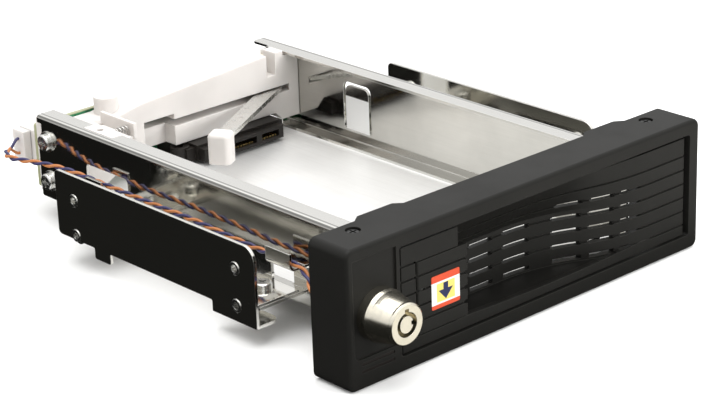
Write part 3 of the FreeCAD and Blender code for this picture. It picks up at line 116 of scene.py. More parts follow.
class Finish:
    """One material.  add() makes any node from its type, its settings and its inputs."""

    def __init__(self, name, **constants):
        self.material = bpy.data.materials.new(name)
        self.material.use_nodes = True
        self.nodes = self.material.node_tree.nodes
        self.shader = self.nodes["Principled BSDF"]
        self.set(**constants)

    def add(self, kind, settings=None, inputs=None, output=0):
        node = self.nodes.new("ShaderNode" + kind)
        for key, value in (settings or {}).items():
            setattr(node, key, value)
        for key, value in (inputs or {}).items():
            self.join(node.inputs[key], value)
        return Wire(self, node.outputs[output])

    def join(self, socket, value):
        """Links a socket to a wire, or sets it to a number or colour."""
        if isinstance(value, Wire):
            self.material.node_tree.links.new(value.socket, socket)
        elif hasattr(value, "__len__") and socket.type == "RGBA":
            socket.default_value = (*value, 1)
        else:
            socket.default_value = value

    def set(self, **values):
        """Sets sockets of the main shader: base_color, roughness and so on."""
        for key, value in values.items():
            self.join(self.shader.inputs[SOCKETS[key]], value)

    def place(self, scale=(1, 1, 1), move=(0, 0, 0)):
        """The point on the piece in millimetres, moved and then scaled for a pattern."""
        spot = self.add("TexCoord", output=3)
        spot = self.add("Mapping", {}, {"Location": [-m * MM for m in move], "Vector": spot})
        return self.add("Mapping", {}, {"Scale": [s / MM for s in scale], "Vector": spot})

    def split(self, spot):
        """The three numbers of a point."""
        node = self.add("SeparateXYZ", {}, {0: spot}).socket.node
        return [Wire(self, output) for output in node.outputs]

    def noise(self, where, scale=1.0, detail=3.0, rough=0.5):
        inputs = {"Vector": where, "Scale": scale, "Detail": detail, "Roughness": rough}
        return self.add("TexNoise", {}, inputs)

    def blend(self, share, first, second):
        """A colour between two colours."""
        return self.add("Mix", {"data_type": "RGBA"}, {0: share, 6: first, 7: second}, output=2)

    def size(self, value):
        """The same number without its sign."""
        return self.add("Math", {"operation": "ABSOLUTE"}, {0: value})

    def ramp(self, value, low, high):
        """0 below low, 1 above high, and smooth between."""
        settings = {"interpolation_type": "SMOOTHSTEP"}
        return self.add("MapRange", settings, {"Value": value, "From Min": low, "From Max": high})

    def band(self, value, start, full, fade, end):
        """1 between full and fade, 0 before start and after end."""
        return self.ramp(value, start, full) * (1 - self.ramp(value, fade, end))

    def bump(self, height, distance, strength=1.0, normal=None):
        inputs = {"Height": height, "Distance": distance * MM, "Strength": strength}
        if normal is not None:
            inputs["Normal"] = normal
        return self.add("Bump", {}, inputs)


def scaled(colour, share):
    """The same colour, darker or lighter."""
    return [min(1, c * share) for c in colour]


print("sockets with a short name:", len(SOCKETS))

# %% [markdown]
# ## Soft edges without more faces
# The solids have knife-sharp corners, and a corner with no radius catches no light.  Real folds
# and moulded edges have a radius of a few tenths.  More faces would show it too, at a cost on
# every edge.  A Bevel node rounds the shading there without a single extra face, and comparing
# its normal with the true one gives a mask of the edges, which most finishes below use to paint a
# highlight along them.

# %% Rounded shading and the mask of the edges
BEVEL_SAMPLES = 4
TURNED_A_LITTLE, TURNED_A_LOT = 0.01, 0.22


def soft_edges(finish, radius):
    """The rounded normal, and a mask that is 1 on edges and 0 on flats."""
    rounded = finish.add("Bevel", {"samples": BEVEL_SAMPLES}, {"Radius": radius * MM})
    flat = finish.add("NewGeometry", output=1)
    same = finish.add("VectorMath", {"operation": "DOT_PRODUCT"}, {0: rounded, 1: flat}, output=1)
    return rounded, finish.ramp(1 - same, TURNED_A_LITTLE, TURNED_A_LOT)


print("edge mask from a bevel with", BEVEL_SAMPLES, "samples")

# %% [markdown]
# ## Where the chassis has painted light
# The tray's floor and a band of the sprung tongue in its right wall are painted pale, a painted
# reflection of bright surroundings, and are made rougher and less metallic.  The tops of the
# flanges are painted lighter, a painted highlight, and each flange's outer fold has dark painted
# lines, a painted reflection of the dark below the horizon.  Painted maps could show this, but
# each of these places is a simple region of the piece, so a mask made of its own millimetres is
# shorter and stays sharp at any distance.

# %% Masks by place, in millimetres
FLOOR_TOP = 7.4
FLANGE_BOTTOM = 35.2
FACING_UP = 0.5
TONGUE_WALL = 50
TONGUE_START, TONGUE_END = 129.1, 140.9
# the height band of the tongue that is painted pale as a reflection
TONGUE_REFLECTION_BAND = (11.0, 12.0, 23.6, 24.2)
INNER_FOLD, INNER_DEPTH = (51.2, 51.5, 51.8, 52.1), 0.6
OUTER_FOLD, OUTER_DEPTH = (52.6, 52.9, 53.2, 53.45), 0.9


def faces_up(steel):
    facing = steel.split(steel.add("NewGeometry", output=1))[2]
    return facing > FACING_UP


def floor_painted_reflection(steel):
    """1 on the tray's floor, where it faces up."""
    up = steel.split(steel.place())[2]
    return (up < FLOOR_TOP) * faces_up(steel)


def flange_top_painted_highlight(steel):
    """1 on the top faces of both flanges."""
    up = steel.split(steel.place())[2]
    return (up > FLANGE_BOTTOM) * faces_up(steel)


def tongue_painted_reflection(steel):
    """1 on a band of the sprung tongue, which is painted pale as a reflection."""
    across, along, up = steel.split(steel.place())
    inside = (along > TONGUE_START) * (along < TONGUE_END) * (across > TONGUE_WALL)
    return inside * steel.band(up, *TONGUE_REFLECTION_BAND)


def fold_painted_reflection_lines(steel):
    """Painted dark lines along the outer folds of both flanges: a painted reflection of the dark
    below the horizon.
    """
    across, _, up = steel.split(steel.place())
    out = steel.size(across)
    lines = steel.band(out, *INNER_FOLD) * INNER_DEPTH + steel.band(out, *OUTER_FOLD) * OUTER_DEPTH
    return lines * (up > FLANGE_BOTTOM)


print("tongue, mm:", round(TONGUE_END - TONGUE_START, 1), "wide")

# %% [markdown]
# ## Bright sheet steel
# The chassis and both brackets are cold rolled sheet with a bright plated skin, nearly a mirror.
# A plain metal shader would look like chrome.  What makes it read as steel is what little is
# wrong with it: rolling lines along the sheet, faint hazy patches from handling, and matt edges,
# which also get a painted highlight in their colour.  Three noises, one of them stretched along the
# sheet, give the lines and patches.

# %% The sheet steel finish
ALONG_THE_SHEET = (1.0, 0.02, 1.0)
WIDE_PATCHES = (0.045, 0.045, 0.045)
# painted highlight: the pale colour that the edges are lightened towards
EDGE_HIGHLIGHT = (0.93, 0.92, 0.89)
# painted highlight: the lighter colour of the flange tops, which face the sky
FLANGE_TOP_HIGHLIGHT = (0.84, 0.83, 0.80)
# painted reflection: the pale colours of the tray's floor, plain and with a random scuff pattern
FLOOR_REFLECTION, FLOOR_REFLECTION_SCUFFED = (0.88, 0.875, 0.86), (0.74, 0.735, 0.72)
# painted reflection: the pale colour of a band on the sprung tongue
TONGUE_REFLECTION = (0.92, 0.92, 0.91)


def sheet_steel(name, colour, haze=0.5, tray=False):
    steel = Finish(name, metallic=1.0)
    rolling = steel.noise(steel.place(ALONG_THE_SHEET), 2.2, 4.0, 0.6)
    patches = steel.noise(steel.place(WIDE_PATCHES), 1.0, 3.0, 0.6)
    specks = steel.noise(steel.place(), 0.9, 5.0, 0.7)
    hazy = steel.ramp(patches, 0.42, 0.72) * haze
    rounded, edge = soft_edges(steel, 0.35)
    tone = steel.blend(hazy, colour, scaled(colour, 0.82))
    tone = steel.blend(steel.ramp(rolling, 0.35, 0.75) * 0.16, tone, scaled(colour, 0.7))
    # painted highlight along the edges, for the light an edge catches
    tone = steel.blend(edge, tone, EDGE_HIGHLIGHT)
    rough = 0.07 + hazy * 0.12 + steel.ramp(specks, 0.55, 0.8) * 0.10 + edge * 0.22
    if tray:
        floor, flange, tongue = floor_painted_reflection(steel), flange_top_painted_highlight(steel), tongue_painted_reflection(steel)
        # painted highlight on the tops of the flanges
        tone = steel.blend(flange * 0.85, tone, FLANGE_TOP_HIGHLIGHT)
        # painted reflection: dark lines along the flanges' outer folds
        tone = steel.blend(fold_painted_reflection_lines(steel), tone, scaled(colour, 0.22))
        scuffed = steel.ramp(rolling, 0.42, 0.7) * 0.35 + hazy * 0.8
        # painted reflection: the floor is painted pale, with a random scuff pattern in it
        tone = steel.blend(floor, tone, steel.blend(scuffed, FLOOR_REFLECTION, FLOOR_REFLECTION_SCUFFED))
        # painted reflection on the band of the tongue
        tone = steel.blend(tongue, tone, TONGUE_REFLECTION)
        rough = rough + floor * (0.22 + patches * 0.2) + tongue * 0.3 + flange * 0.12
        steel.set(metallic=1 - floor * 0.5 - tongue * 0.6)
    steel.set(base_color=tone, roughness=rough)
    relief = rolling * 0.6 + specks * 0.25
    steel.set(normal=steel.bump(relief, 0.02, 0.35, rounded))
    return steel.material


bright_sheet = sheet_steel("bright_sheet", (0.60, 0.59, 0.555), tray=True)
bracket_sheet = sheet_steel("bracket_sheet", (0.88, 0.865, 0.815), 0.35)
print("sheet finishes:", bright_sheet.name, bracket_sheet.name)

# %% [markdown]
# ## Turned and plated parts
# Nuts, screws and washers are zinc plated: brighter, bluer and a little cloudy.  The spring wire
# is darker, the contacts are gold and solder is greyer.  They differ in colour and gloss alone,
# so one function makes them all, with a cloudy noise in the colour and a fine one in the relief.

# %% The plated finish
def plated(name, colour, rough, grain=6.0):
    metal = Finish(name, metallic=1.0)
    cloud = metal.noise(metal.place((0.5, 0.5, 0.5)), 1.0, 4.0, 0.6)
    fine = metal.noise(metal.place(), grain, 2.0)
    rounded, edge = soft_edges(metal, 0.12)
    dull = metal.ramp(cloud, 0.4, 0.7)
    tone = metal.blend(dull * 0.5, colour, scaled(colour, 0.72))
    # painted highlight: the edges are lightened, for the light an edge catches
    metal.set(base_color=metal.blend(edge * 0.8, tone, scaled(colour, 1.25)))
    metal.set(roughness=rough + dull * 0.10 + fine * 0.05)
    metal.set(normal=metal.bump(fine, 0.008, 0.3, rounded))
    return metal.material


plated_steel = plated("plated_steel", (0.74, 0.74, 0.72), 0.18)
spring_wire = plated("spring_wire", (0.55, 0.54, 0.52), 0.22)
gold_contact = plated("gold_contact", (0.86, 0.62, 0.26), 0.2)
solder_bright = plated("solder_bright", (0.68, 0.68, 0.67), 0.3, 3.0)
print("plated finishes: 4")

# %% [markdown]
# ## Moulded plastic
# The bezel and door are black, spark-eroded in the mould to a fine satin grain.  A bump made of
# one fine noise gives the grain; a much wider one makes the gloss drift a little, as on any large
# moulding, and the edges are painted a lighter line, a painted highlight for the light an edge
# catches.  The white rear frame is nylon, which lets a little light in, so it has some subsurface
# scattering as well.

# %% The moulded finish
def moulded(name, colour, rough, grain=0.02, edge_highlight_tone=1.6, radius=0.25, **constants):
    plastic = Finish(name, **constants)
    fine = plastic.noise(plastic.place(), 4.5, 3.0, 0.6)
    wide = plastic.noise(plastic.place((0.04, 0.04, 0.04)), 1.0, 3.0, 0.55)
    rounded, edge = soft_edges(plastic, radius)
    drift = plastic.ramp(wide, 0.35, 0.7)
    tone = plastic.blend(drift * 0.5, colour, scaled(colour, 0.8))
    # painted highlight: the edges are lightened, for the light an edge catches
    plastic.set(base_color=plastic.blend(edge * 0.6, tone, scaled(colour, edge_highlight_tone)))
    plastic.set(roughness=rough + drift * 0.08 + fine * 0.06 - edge * 0.08)
    plastic.set(normal=plastic.bump(fine, grain, 0.6, rounded))
    return plastic.material


# name, colour, roughness, depth of the grain, how much lighter the painted edge highlight is, radius
# of the edges
black_moulding = moulded(
    "black_moulding", (0.0110, 0.0107, 0.0096), 0.34, edge_highlight_tone=4.4, specular=0.13
)
black_screw = moulded("black_screw", (0.010, 0.010, 0.010), 0.3, 0.01, 2.5, 0.12)
black_connector = moulded(
    "black_connector", (0.012, 0.010, 0.0085), 0.36, 0.015, 3.5, 0.15, specular=0.3
)
NYLON_GLOW = dict(subsurface=0.35, subsurface_scale=0.003, subsurface_radius=(1.0, 0.9, 0.85))
white_nylon = moulded("white_nylon", (0.66, 0.63, 0.605), 0.38, 0.015, 1.1, 0.4, **NYLON_GLOW)
ivory_plastic = moulded("ivory_plastic", (0.80, 0.74, 0.62), 0.4, 0.015, 1.1, 0.2)
smoked_bar = moulded("smoked_bar", (0.012, 0.010, 0.009), 0.22, 0.004, 2.0, 0.1, specular=0.15)
lamp_clear = moulded(
    "lamp_clear", (0.82, 0.84, 0.86), 0.1, 0.002, 1.1, 0.2, transmission=0.6, ior=1.5
)
print("moulded finishes: 7")

# %% [markdown]
# ## The lock
# Its collar and face are turned brass under satin nickel, warm and a little creamy.  Turning
# leaves fine rings about the axis.  Cutting them would take thousands of faces, so the relief is
# a wave of the distance from that axis, which is measured on the solid.

# %% The lock's nickel
RING_RATE = 38
# painted highlight: the pale colour that the lock's edges are lightened towards
RIM_HIGHLIGHT = (0.95, 0.93, 0.86)
lock_axis = [(a + b) / 2 for a, b in zip(*in_mm(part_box("lock_body")))]


def turned(name, colour, rough):
    metal = Finish(name, metallic=1.0)
    spot = metal.place((1, 0, 1), (lock_axis[0], 0, lock_axis[2]))
    far = metal.add("VectorMath", {"operation": "LENGTH"}, {0: spot}, output=1)
    rings = metal.add("Math", {"operation": "SINE"}, {0: far * RING_RATE})
    cloud = metal.noise(metal.place((0.4, 0.4, 0.4)), 1.0, 3.0)
    rounded, edge = soft_edges(metal, 0.25)
    tone = metal.blend(metal.ramp(cloud, 0.4, 0.7) * 0.4, colour, scaled(colour, 0.8))
    # painted highlight along the edges of collar and face
    metal.set(base_color=metal.blend(edge * 0.7, tone, RIM_HIGHLIGHT))
    metal.set(roughness=rough + cloud * 0.08)
    metal.set(normal=metal.bump(rings, 0.004, 0.25, rounded))
    return metal.material


lock_nickel = turned("lock_nickel", (0.90, 0.85, 0.72), 0.17)
print("lock axis, mm:", [round(v, 1) for v in lock_axis])

# %% [markdown]
# ## The circuit board
# Green solder mask over copper: where copper runs under the mask the green is lighter.  Real
# tracks would need a drawing.  From a hand's distance they are parallel runs that jog now and
# then, which a folded height with a stepped noise imitates; the cut edge of the board is the
# pale brown of glass and resin.

# %% The solder mask
BOARD_GREEN, OVER_COPPER, CUT_RESIN = (0.008, 0.115, 0.045), (0.016, 0.21, 0.085), (0.33, 0.34, 0.20)
TRACK_HALF_PITCH, TRACK_EDGE = 0.55, 0.30
RIM = 0.3


def solder_mask(name):
    board = Finish(name, coat=0.25)
    low, high = in_mm(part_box("backplane_board"))
    spot = board.place()
    across, _, up = board.split(spot)
    pour = board.noise(board.place((0.16, 1, 0.22)), 1.0, 0.0)
    drift = board.noise(board.place((0.08, 1, 0.08)), 1.0, 1.0)
    jog = board.add("Math", {"operation": "SNAP"}, {0: drift * 9, 1: 1.0})
    folded = {0: up + jog * 0.7, 1: TRACK_HALF_PITCH}
    track = board.add("Math", {"operation": "PINGPONG"}, folded)
    mask = (track > TRACK_EDGE) * (pour > 0.47) + (pour < 0.40) * 0.8
    fine = board.noise(spot, 3.0, 2.0)
    tone = board.blend(mask, BOARD_GREEN, OVER_COPPER)
    ends = (across < low[0] + RIM) + (across > high[0] - RIM)
    rim = (up > high[2] - RIM) + (up < low[2] + RIM) + ends
    board.set(base_color=board.blend(rim, tone, CUT_RESIN))
    board.set(roughness=0.28 + fine * 0.1)
    rounded, _ = soft_edges(board, 0.1)
    board.set(normal=board.bump(mask + fine * 0.2, 0.03, 0.4, rounded))
    return board.material


board_green = solder_mask("board_green")
print("board finish:", board_green.name)

# %% [markdown]
# ## Giving every solid its finish
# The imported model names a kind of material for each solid.  Choosing finishes by that name, and
# not solid by solid, keeps pieces of one stock alike, and a solid that is added later is dressed
# without a new line here.

# %% One finish for each kind of material
SLOT_FINISH = {
    "bright_sheet": bright_sheet, "bracket_sheet": bracket_sheet, "plated_steel": plated_steel,
    "black_moulding": black_moulding, "black_screw": black_screw, "spring_wire": spring_wire,
    "lock_nickel": lock_nickel, "clear_bar": smoked_bar, "lamp_clear": lamp_clear,
    "ivory_plastic": ivory_plastic, "white_plastic": white_nylon, "board_green": board_green,
    "black_connector": black_connector, "gold_contact": gold_contact,
}

dressed = 0
for entry in frame["record"]["subparts"]:
    finish = SLOT_FINISH.get(entry["material_slot"])
    if finish:
        solid = frame["nodes"][entry["node"]]
        solid.data.materials.clear()
        solid.data.materials.append(finish)
        dressed += 1
print("solids dressed:", dressed)

# %% [markdown]
# ## Starting a new piece
# Every new piece starts as a primitive of about its own size, put where it belongs, and is then
# shaped in edit mode.  The helpers below keep three habits: nothing else is selected, faces are
# picked by where they are or where they point, and the finished piece sits at the origin with its
# place in its mesh, so that a pattern on Object coordinates stays put.

# %% Primitives in their place
def deselect():
    if bpy.context.object and bpy.context.object.mode != "OBJECT":
        bpy.ops.object.mode_set(mode="OBJECT")
    bpy.ops.object.select_all(action="DESELECT")


def settled(name):
    """The primitive that was just added, named, with its place moved into its mesh."""
    piece = bpy.context.object
    piece.name = piece.data.name = name
    bpy.ops.object.transform_apply(location=True, rotation=True, scale=True)
    return piece


def block(name, low, high):
    """A box between two corners in millimetres, ready to be shaped."""
    deselect()
    middle = [(a + b) / 2 * MM for a, b in zip(low, high)]
    size = [(b - a) * MM for a, b in zip(low, high)]
    bpy.ops.mesh.primitive_cube_add(size=1, location=middle, scale=size)
    return settled(name)


def drum(name, middle, radius, depth, sides):
    """A cylinder along Y, ready to be shaped."""
    deselect()
    bpy.ops.mesh.primitive_cylinder_add(
        vertices=sides, radius=radius * MM, depth=depth * MM,
        location=[m * MM for m in middle], rotation=(math.pi / 2, 0, 0),
    )
    return settled(name)


print("primitives: block, drum")

# %% Picking, softening, joining and finishing
def pick(piece, test, kind="FACE"):
    """Selects the faces or edges whose middle and normal pass a test, and stays in edit mode."""
    bpy.context.view_layer.objects.active = piece
    piece.select_set(True)
    bpy.ops.object.mode_set(mode="EDIT")
    bpy.ops.mesh.select_mode(type=kind)
    bpy.ops.mesh.select_all(action="DESELECT")
    mesh = bmesh.from_edit_mesh(piece.data)
    for part in mesh.faces if kind == "FACE" else mesh.edges:
        if kind == "FACE":
            middle, way = part.calc_center_median(), part.normal
        else:
            ends = [v.co for v in part.verts]
            middle, way = (ends[0] + ends[1]) / 2, (ends[1] - ends[0]).normalized()
        if test(middle / MM, way):
            part.select = True
    mesh.select_flush_mode()
    bmesh.update_edit_mesh(piece.data)


def soften(piece, radius, segments=2, test=lambda middle, way: True):
    """Rounds the edges that pass a test, or all of them."""
    pick(piece, test, "EDGE")
    bpy.ops.mesh.bevel(offset=radius * MM, segments=segments, affect="EDGES", profile=0.6)
    bpy.ops.object.mode_set(mode="OBJECT")


def join(name, pieces):
    """Several loose meshes become one piece."""
    deselect()
    for piece in pieces:
        piece.select_set(True)
    bpy.context.view_layer.objects.active = pieces[0]
    bpy.ops.object.join()
    pieces[0].name = pieces[0].data.name = name
    return pieces[0]


def done(piece, body, finish, smooth=30):
    """Shades the piece, gives it its finish and lets it ride on a body."""
    deselect()
    piece.select_set(True)
    bpy.context.view_layer.objects.active = piece
    bpy.ops.object.shade_smooth_by_angle(angle=math.radians(smooth))
    piece.data.materials.clear()
    piece.data.materials.append(finish)
    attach(piece, body)
    return piece


print("helpers: pick, soften, join, done")

# %% [markdown]
# ## The twisted lead
# One lamp lead runs along the left wall from the lamp behind the bezel to its plug behind the
# board: two thin wires, orange and violet, twisted together about every ten millimetres.  A
# twisted profile swept along a curve would do, but its turns bunch up in bends.  Walking along
# the route in even steps keeps the twist even, so the route is first made one smooth spline.

# %% The route of the lead
LEAD_ROUTE = [
    (-63.6, 8.95, 6.65), (-63.6, 14.95, 6.65), (-63.2, 22.0, 8.8), (-62.0, 27.8, 13.6),
    (-59.8, 32.4, 18.8), (-57.4, 37.8, 21.9), (-57.0, 46.4, 22.5), (-57.1, 58.0, 22.1),
    (-57.2, 72.0, 22.6), (-57.0, 88.0, 23.1), (-57.2, 104.0, 23.0), (-56.9, 119.5, 22.7),
    (-57.1, 133.5, 22.9), (-57.3, 146.0, 23.1), (-58.5, 157.5, 23.5), (-60.6, 166.5, 23.4),
    (-62.6, 173.0, 23.2), (-63.4, 177.2, 23.0), (-63.4, 180.16, 23.0), (-62.29, 182.84, 23.0),
    (-60.24, 184.89, 23.0), (-57.56, 186.0, 23.0), (-54.8, 186.0, 23.0),
]
LEAD_STEP = 0.5


def spline_points(route):
    """Points along the smooth spline whose control points are the route."""
    curve = bpy.data.curves.new("lead_route", "CURVE")
    curve.dimensions = "3D"
    curve.resolution_u = 16
    line = curve.splines.new("NURBS")
    line.points.add(len(route) - 1)
    for point, place in zip(line.points, route):
        point.co = (*[v * MM for v in place], 1)
    line.order_u = 3
    line.use_endpoint_u = True
    holder = bpy.data.objects.new("lead_route", curve)
    bpy.context.scene.collection.objects.link(holder)
    bpy.context.view_layer.update()
    shape = bpy.data.meshes.new_from_object(holder)
    points = [v.co.copy() for v in shape.vertices]
    bpy.data.objects.remove(holder)
    bpy.data.meshes.remove(shape)
    return points


def even_steps(points, step):
    """The same line with points at even steps, and its length."""
    steps, walked, target = [points[0]], 0.0, step
    for first, last in zip(points, points[1:]):
        length = (last - first).length
        while walked + length >= target and length > 0:
            steps.append(first.lerp(last, (target - walked) / length))
            target += step
        walked += length
    steps.append(points[-1])
    return steps, walked


lead_line, lead_length = even_steps(spline_points(LEAD_ROUTE), LEAD_STEP * MM)
print("lead length, mm:", round(lead_length / MM, 1))

# %% [markdown]
# ## Two wires about the route
# Each wire follows a helix about the route, and the two part a little before the lamp and before
# the plug, where the real ones go to separate pins.  Wire that is twisted by hand isn't even, so
# the distance between the two breathes a little on the way.

# %% One wire's own line
WIRE_RADIUS = 0.5
TWIST = 10.0
LAMP_FAN, LAMP_FAN_LENGTH = Vector((0, 0, 0.62)), 9.0
PLUG_FAN, PLUG_FAN_LENGTH = Vector((0, 0, 2.6)), 5.0
SNUG, BREATH = 0.96, 0.10


def ease(share):
    """0 to 1 with a soft start and end, and 0 for anything below 0."""
    share = max(0, share)
    return share * share * (3 - 2 * share)


def wire_path(line, length, side):
    """A helix about the line that opens out at both ends."""
    across = Vector((0, 0, 1))
    path = []
    for i, spot in enumerate(line):
        ahead = (line[min(i + 1, len(line) - 1)] - line[max(i - 1, 0)]).normalized()
        across = (across - ahead * across.dot(ahead)).normalized()
        walked = i * LEAD_STEP
        left = length / MM - walked
        turn = -2 * math.pi * walked / TWIST
        helix = across * math.cos(turn) + ahead.cross(across) * math.sin(turn)
        reach = WIRE_RADIUS * (SNUG + BREATH * math.sin(walked / 7.3) * math.sin(walked / 2.9))
        offset = helix * reach * side
        offset = offset.lerp(LAMP_FAN * side, ease(1 - walked / LAMP_FAN_LENGTH))
        offset = offset.lerp(PLUG_FAN * side, ease(1 - left / PLUG_FAN_LENGTH))
        path.append(spot + offset * MM)
    return path


violet_path, orange_path = [wire_path(lead_line, lead_length, side) for side in (1, -1)]
print("points on each wire:", len(violet_path))

# %% The wires and their skins
def tube(name, path, radius):
    """A round wire along a line of points."""
    curve = bpy.data.curves.new(name, "CURVE")
    curve.dimensions = "3D"
    curve.bevel_depth = radius * MM
    curve.bevel_resolution = 2
    curve.use_fill_caps = True
    line = curve.splines.new("POLY")
    line.points.add(len(path) - 1)
    for point, place in zip(line.points, path):
        point.co = (*place, 1)
    holder = bpy.data.objects.new(name, curve)
    bpy.context.scene.collection.objects.link(holder)
    deselect()
    holder.select_set(True)
    bpy.context.view_layer.objects.active = holder
    bpy.ops.object.convert(target="MESH")
    return bpy.context.object


def wire_skin(name, colour):
    skin = Finish(name)
    wide = skin.noise(skin.place((0.3, 0.3, 0.3)), 1.0, 3.0)
    fine = skin.noise(skin.place(), 5.0, 2.0)
    skin.set(base_color=skin.blend(skin.ramp(wide, 0.35, 0.7) * 0.5, colour, scaled(colour, 0.7)))
    skin.set(roughness=0.34 + fine * 0.12)
    skin.set(normal=skin.bump(fine, 0.01, 0.4))
    return skin.material


def wire_strand(name, path, colour):
    wire = tube("lead_" + name, path, WIRE_RADIUS)
    done(wire, "cage", wire_skin(name, colour), 60)
    print(wire.name, "faces:", len(wire.data.polygons))
    return wire


violet_strand = wire_strand("violet_wire", violet_path, (0.036, 0.033, 0.115))
orange_strand = wire_strand("orange_wire", orange_path, (0.50, 0.18, 0.055))
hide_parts("lamp_lead")
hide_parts("lamp_lead")

# %% [markdown]
# ## The label on the latch
# A small printed film sits on the finger latch.  Its print here is a plain sign of no maker: red
# bands above and below, and a dark arrow on a yellow field for the way the drive goes in.  Text
# and pictures would need a file; these shapes are few and straight, so the print is arithmetic on
# the height and width.  The film is a thin plate with rounded corners.

# %% The print
latch_high = in_mm(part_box("latch_lever"))[1]
LABEL_LEFT, LABEL_RIGHT = latch_high[0] - 14.4, latch_high[0] - 3.2
LABEL_BOTTOM, LABEL_TOP = 15.0, 25.3
TOP_BAND, BOTTOM_BAND = 2.1, 1.3
FIELD_HALF, FIELD_BOTTOM, FIELD_TOP = 3.6, LABEL_BOTTOM + 1.9, LABEL_TOP - 2.7
ARROW_TIP, ARROW_SLOPE, HEAD_TOP = LABEL_BOTTOM + 2.2, 0.9, LABEL_BOTTOM + 5.4
SHAFT_HALF, SHAFT_BOTTOM, SHAFT_TOP = 0.95, LABEL_BOTTOM + 5.0, LABEL_TOP - 2.9
PAPER, PAPER_SHADE = (0.62, 0.61, 0.59), (0.52, 0.51, 0.49)
YELLOW, NAVY, RED = (0.60, 0.49, 0.12), (0.012, 0.016, 0.06), (0.50, 0.055, 0.018)


def label_print():
    film = Finish("label_film", specular=0.3)
    across, _, up = film.split(film.place())
    aside = film.size(across - (LABEL_LEFT + LABEL_RIGHT) / 2)
    bands = (up > LABEL_TOP - TOP_BAND) + (up < LABEL_BOTTOM + BOTTOM_BAND)
    field = (aside < FIELD_HALF) * (up > FIELD_BOTTOM) * (up < FIELD_TOP)
    head = (aside < (up - ARROW_TIP) * ARROW_SLOPE) * (up < HEAD_TOP) * (up > ARROW_TIP)
    shaft = (aside < SHAFT_HALF) * (up > SHAFT_BOTTOM) * (up < SHAFT_TOP)
    grain = film.noise(film.place(), 2.0, 3.0)
    tone = film.blend(grain * 0.1, PAPER, PAPER_SHADE)
    tone = film.blend(field, tone, YELLOW)
    tone = film.blend(head + shaft - head * shaft, tone, NAVY)
    film.set(base_color=film.blend(bands, tone, RED))
    film.set(roughness=0.26 + grain * 0.12)
    film.set(normal=film.bump(grain, 0.01, 0.2))
    return film.material


print("label, mm:", round(LABEL_RIGHT - LABEL_LEFT, 1), "by", round(LABEL_TOP - LABEL_BOTTOM, 1))

# %% The film
FILM_FRONT, FILM_BACK = 0.48, 0.65

label = block(
    "latch_label", (LABEL_LEFT, FILM_FRONT, LABEL_BOTTOM), (LABEL_RIGHT, FILM_BACK, LABEL_TOP)
)
soften(label, 0.5, 2, lambda middle, way: abs(way.y) > 0.9)
soften(label, 0.04, 1, lambda middle, way: middle.y < FILM_FRONT + 0.001)
done(label, "latch", label_print())
print("label faces:", len(label.data.polygons))

# %% [markdown]
# ## Parts on the back of the board
# Behind the drive's connector the board carries the usual small parts: two chips with bent legs,
# a row of capacitors and resistors with bright ends, and solder cones where connector pins come
# through.  None of them moves or bears on anything, which is why they are made here and not as
# solids.  Each kind is modelled once, from a few sizes, and every copy has its own mesh.

# %% A chip with bent legs
board_low, board_high = in_mm(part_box("backplane_board"))
board_back = board_high[1]
chip_black = moulded("chip_black", (0.016, 0.016, 0.017), 0.42, 0.02, 2.0, 0.1)
ceramic_tan = moulded("ceramic_tan", (0.34, 0.24, 0.15), 0.4, 0.01, 1.3, 0.08)
CHIP_UNDER, CHIP_TOP = board_back + 0.1, board_back + 1.5
LEG_PITCH, LEG_HALF = 1.27, 0.2
LEG_UNDER, LEG_OVER = board_back + 0.62, board_back + 0.78
LEG_START, LEG_DROP, LEG_SLANT, LEG_FOOT = 0.25, 0.6, 0.25, 0.5
MARK_INSET = 0.9


def chip_leg(x, edge, side):
    """One leg: straight out of the body, down to the board, and out again as a foot."""
    low = (x - LEG_HALF, LEG_UNDER, edge - LEG_START)
    leg = block("leg", low, (x + LEG_HALF, LEG_OVER, edge + LEG_START))
    pick(leg, lambda middle, way: way.z * side > 0.9)
    for drop, out in ((LEG_DROP, LEG_SLANT), (0, LEG_FOOT)):
        way = {"value": (0, -drop * MM, side * out * MM)}
        bpy.ops.mesh.extrude_region_move(TRANSFORM_OT_translate=way)
    bpy.ops.object.mode_set(mode="OBJECT")
    return leg


def chip(index, x, z, wide, tall, legs):
    """A small outline chip on the board's back: a body and two rows of legs."""
    left, low = x - wide / 2, z - tall / 2
    body = block("chip_body", (left, CHIP_UNDER, low), (x + wide / 2, CHIP_TOP, z + tall / 2))
    pick(body, lambda middle, way: way.y > 0.9)
    bpy.ops.transform.resize(value=(0.94, 1, 0.9))
    bpy.ops.object.mode_set(mode="OBJECT")
    soften(body, 0.12)
    mark = drum("chip_mark", (left + MARK_INSET, CHIP_TOP, low + MARK_INSET), 0.35, 0.06, 20)
    done(join("chip_%02d_body" % index, [body, mark]), "cage", chip_black)
    row = [x + (i - (legs - 1) / 2) * LEG_PITCH for i in range(legs)]
    pieces = [chip_leg(at, z + side * tall / 2, side) for side in (-1, 1) for at in row]
    done(join("chip_%02d_legs" % index, pieces), "cage", solder_bright)


# right of the board's left end, above its lower edge, width, height, legs in a row
CHIPS = [(26.0, 6.2, 5.0, 4.0, 4), (62.0, 15.6, 9.0, 4.0, 7)]
for index, (x, z, wide, tall, legs) in enumerate(CHIPS):
    chip(index, board_low[0] + x, board_low[2] + z, wide, tall, legs)
print("chips:", len(CHIPS))

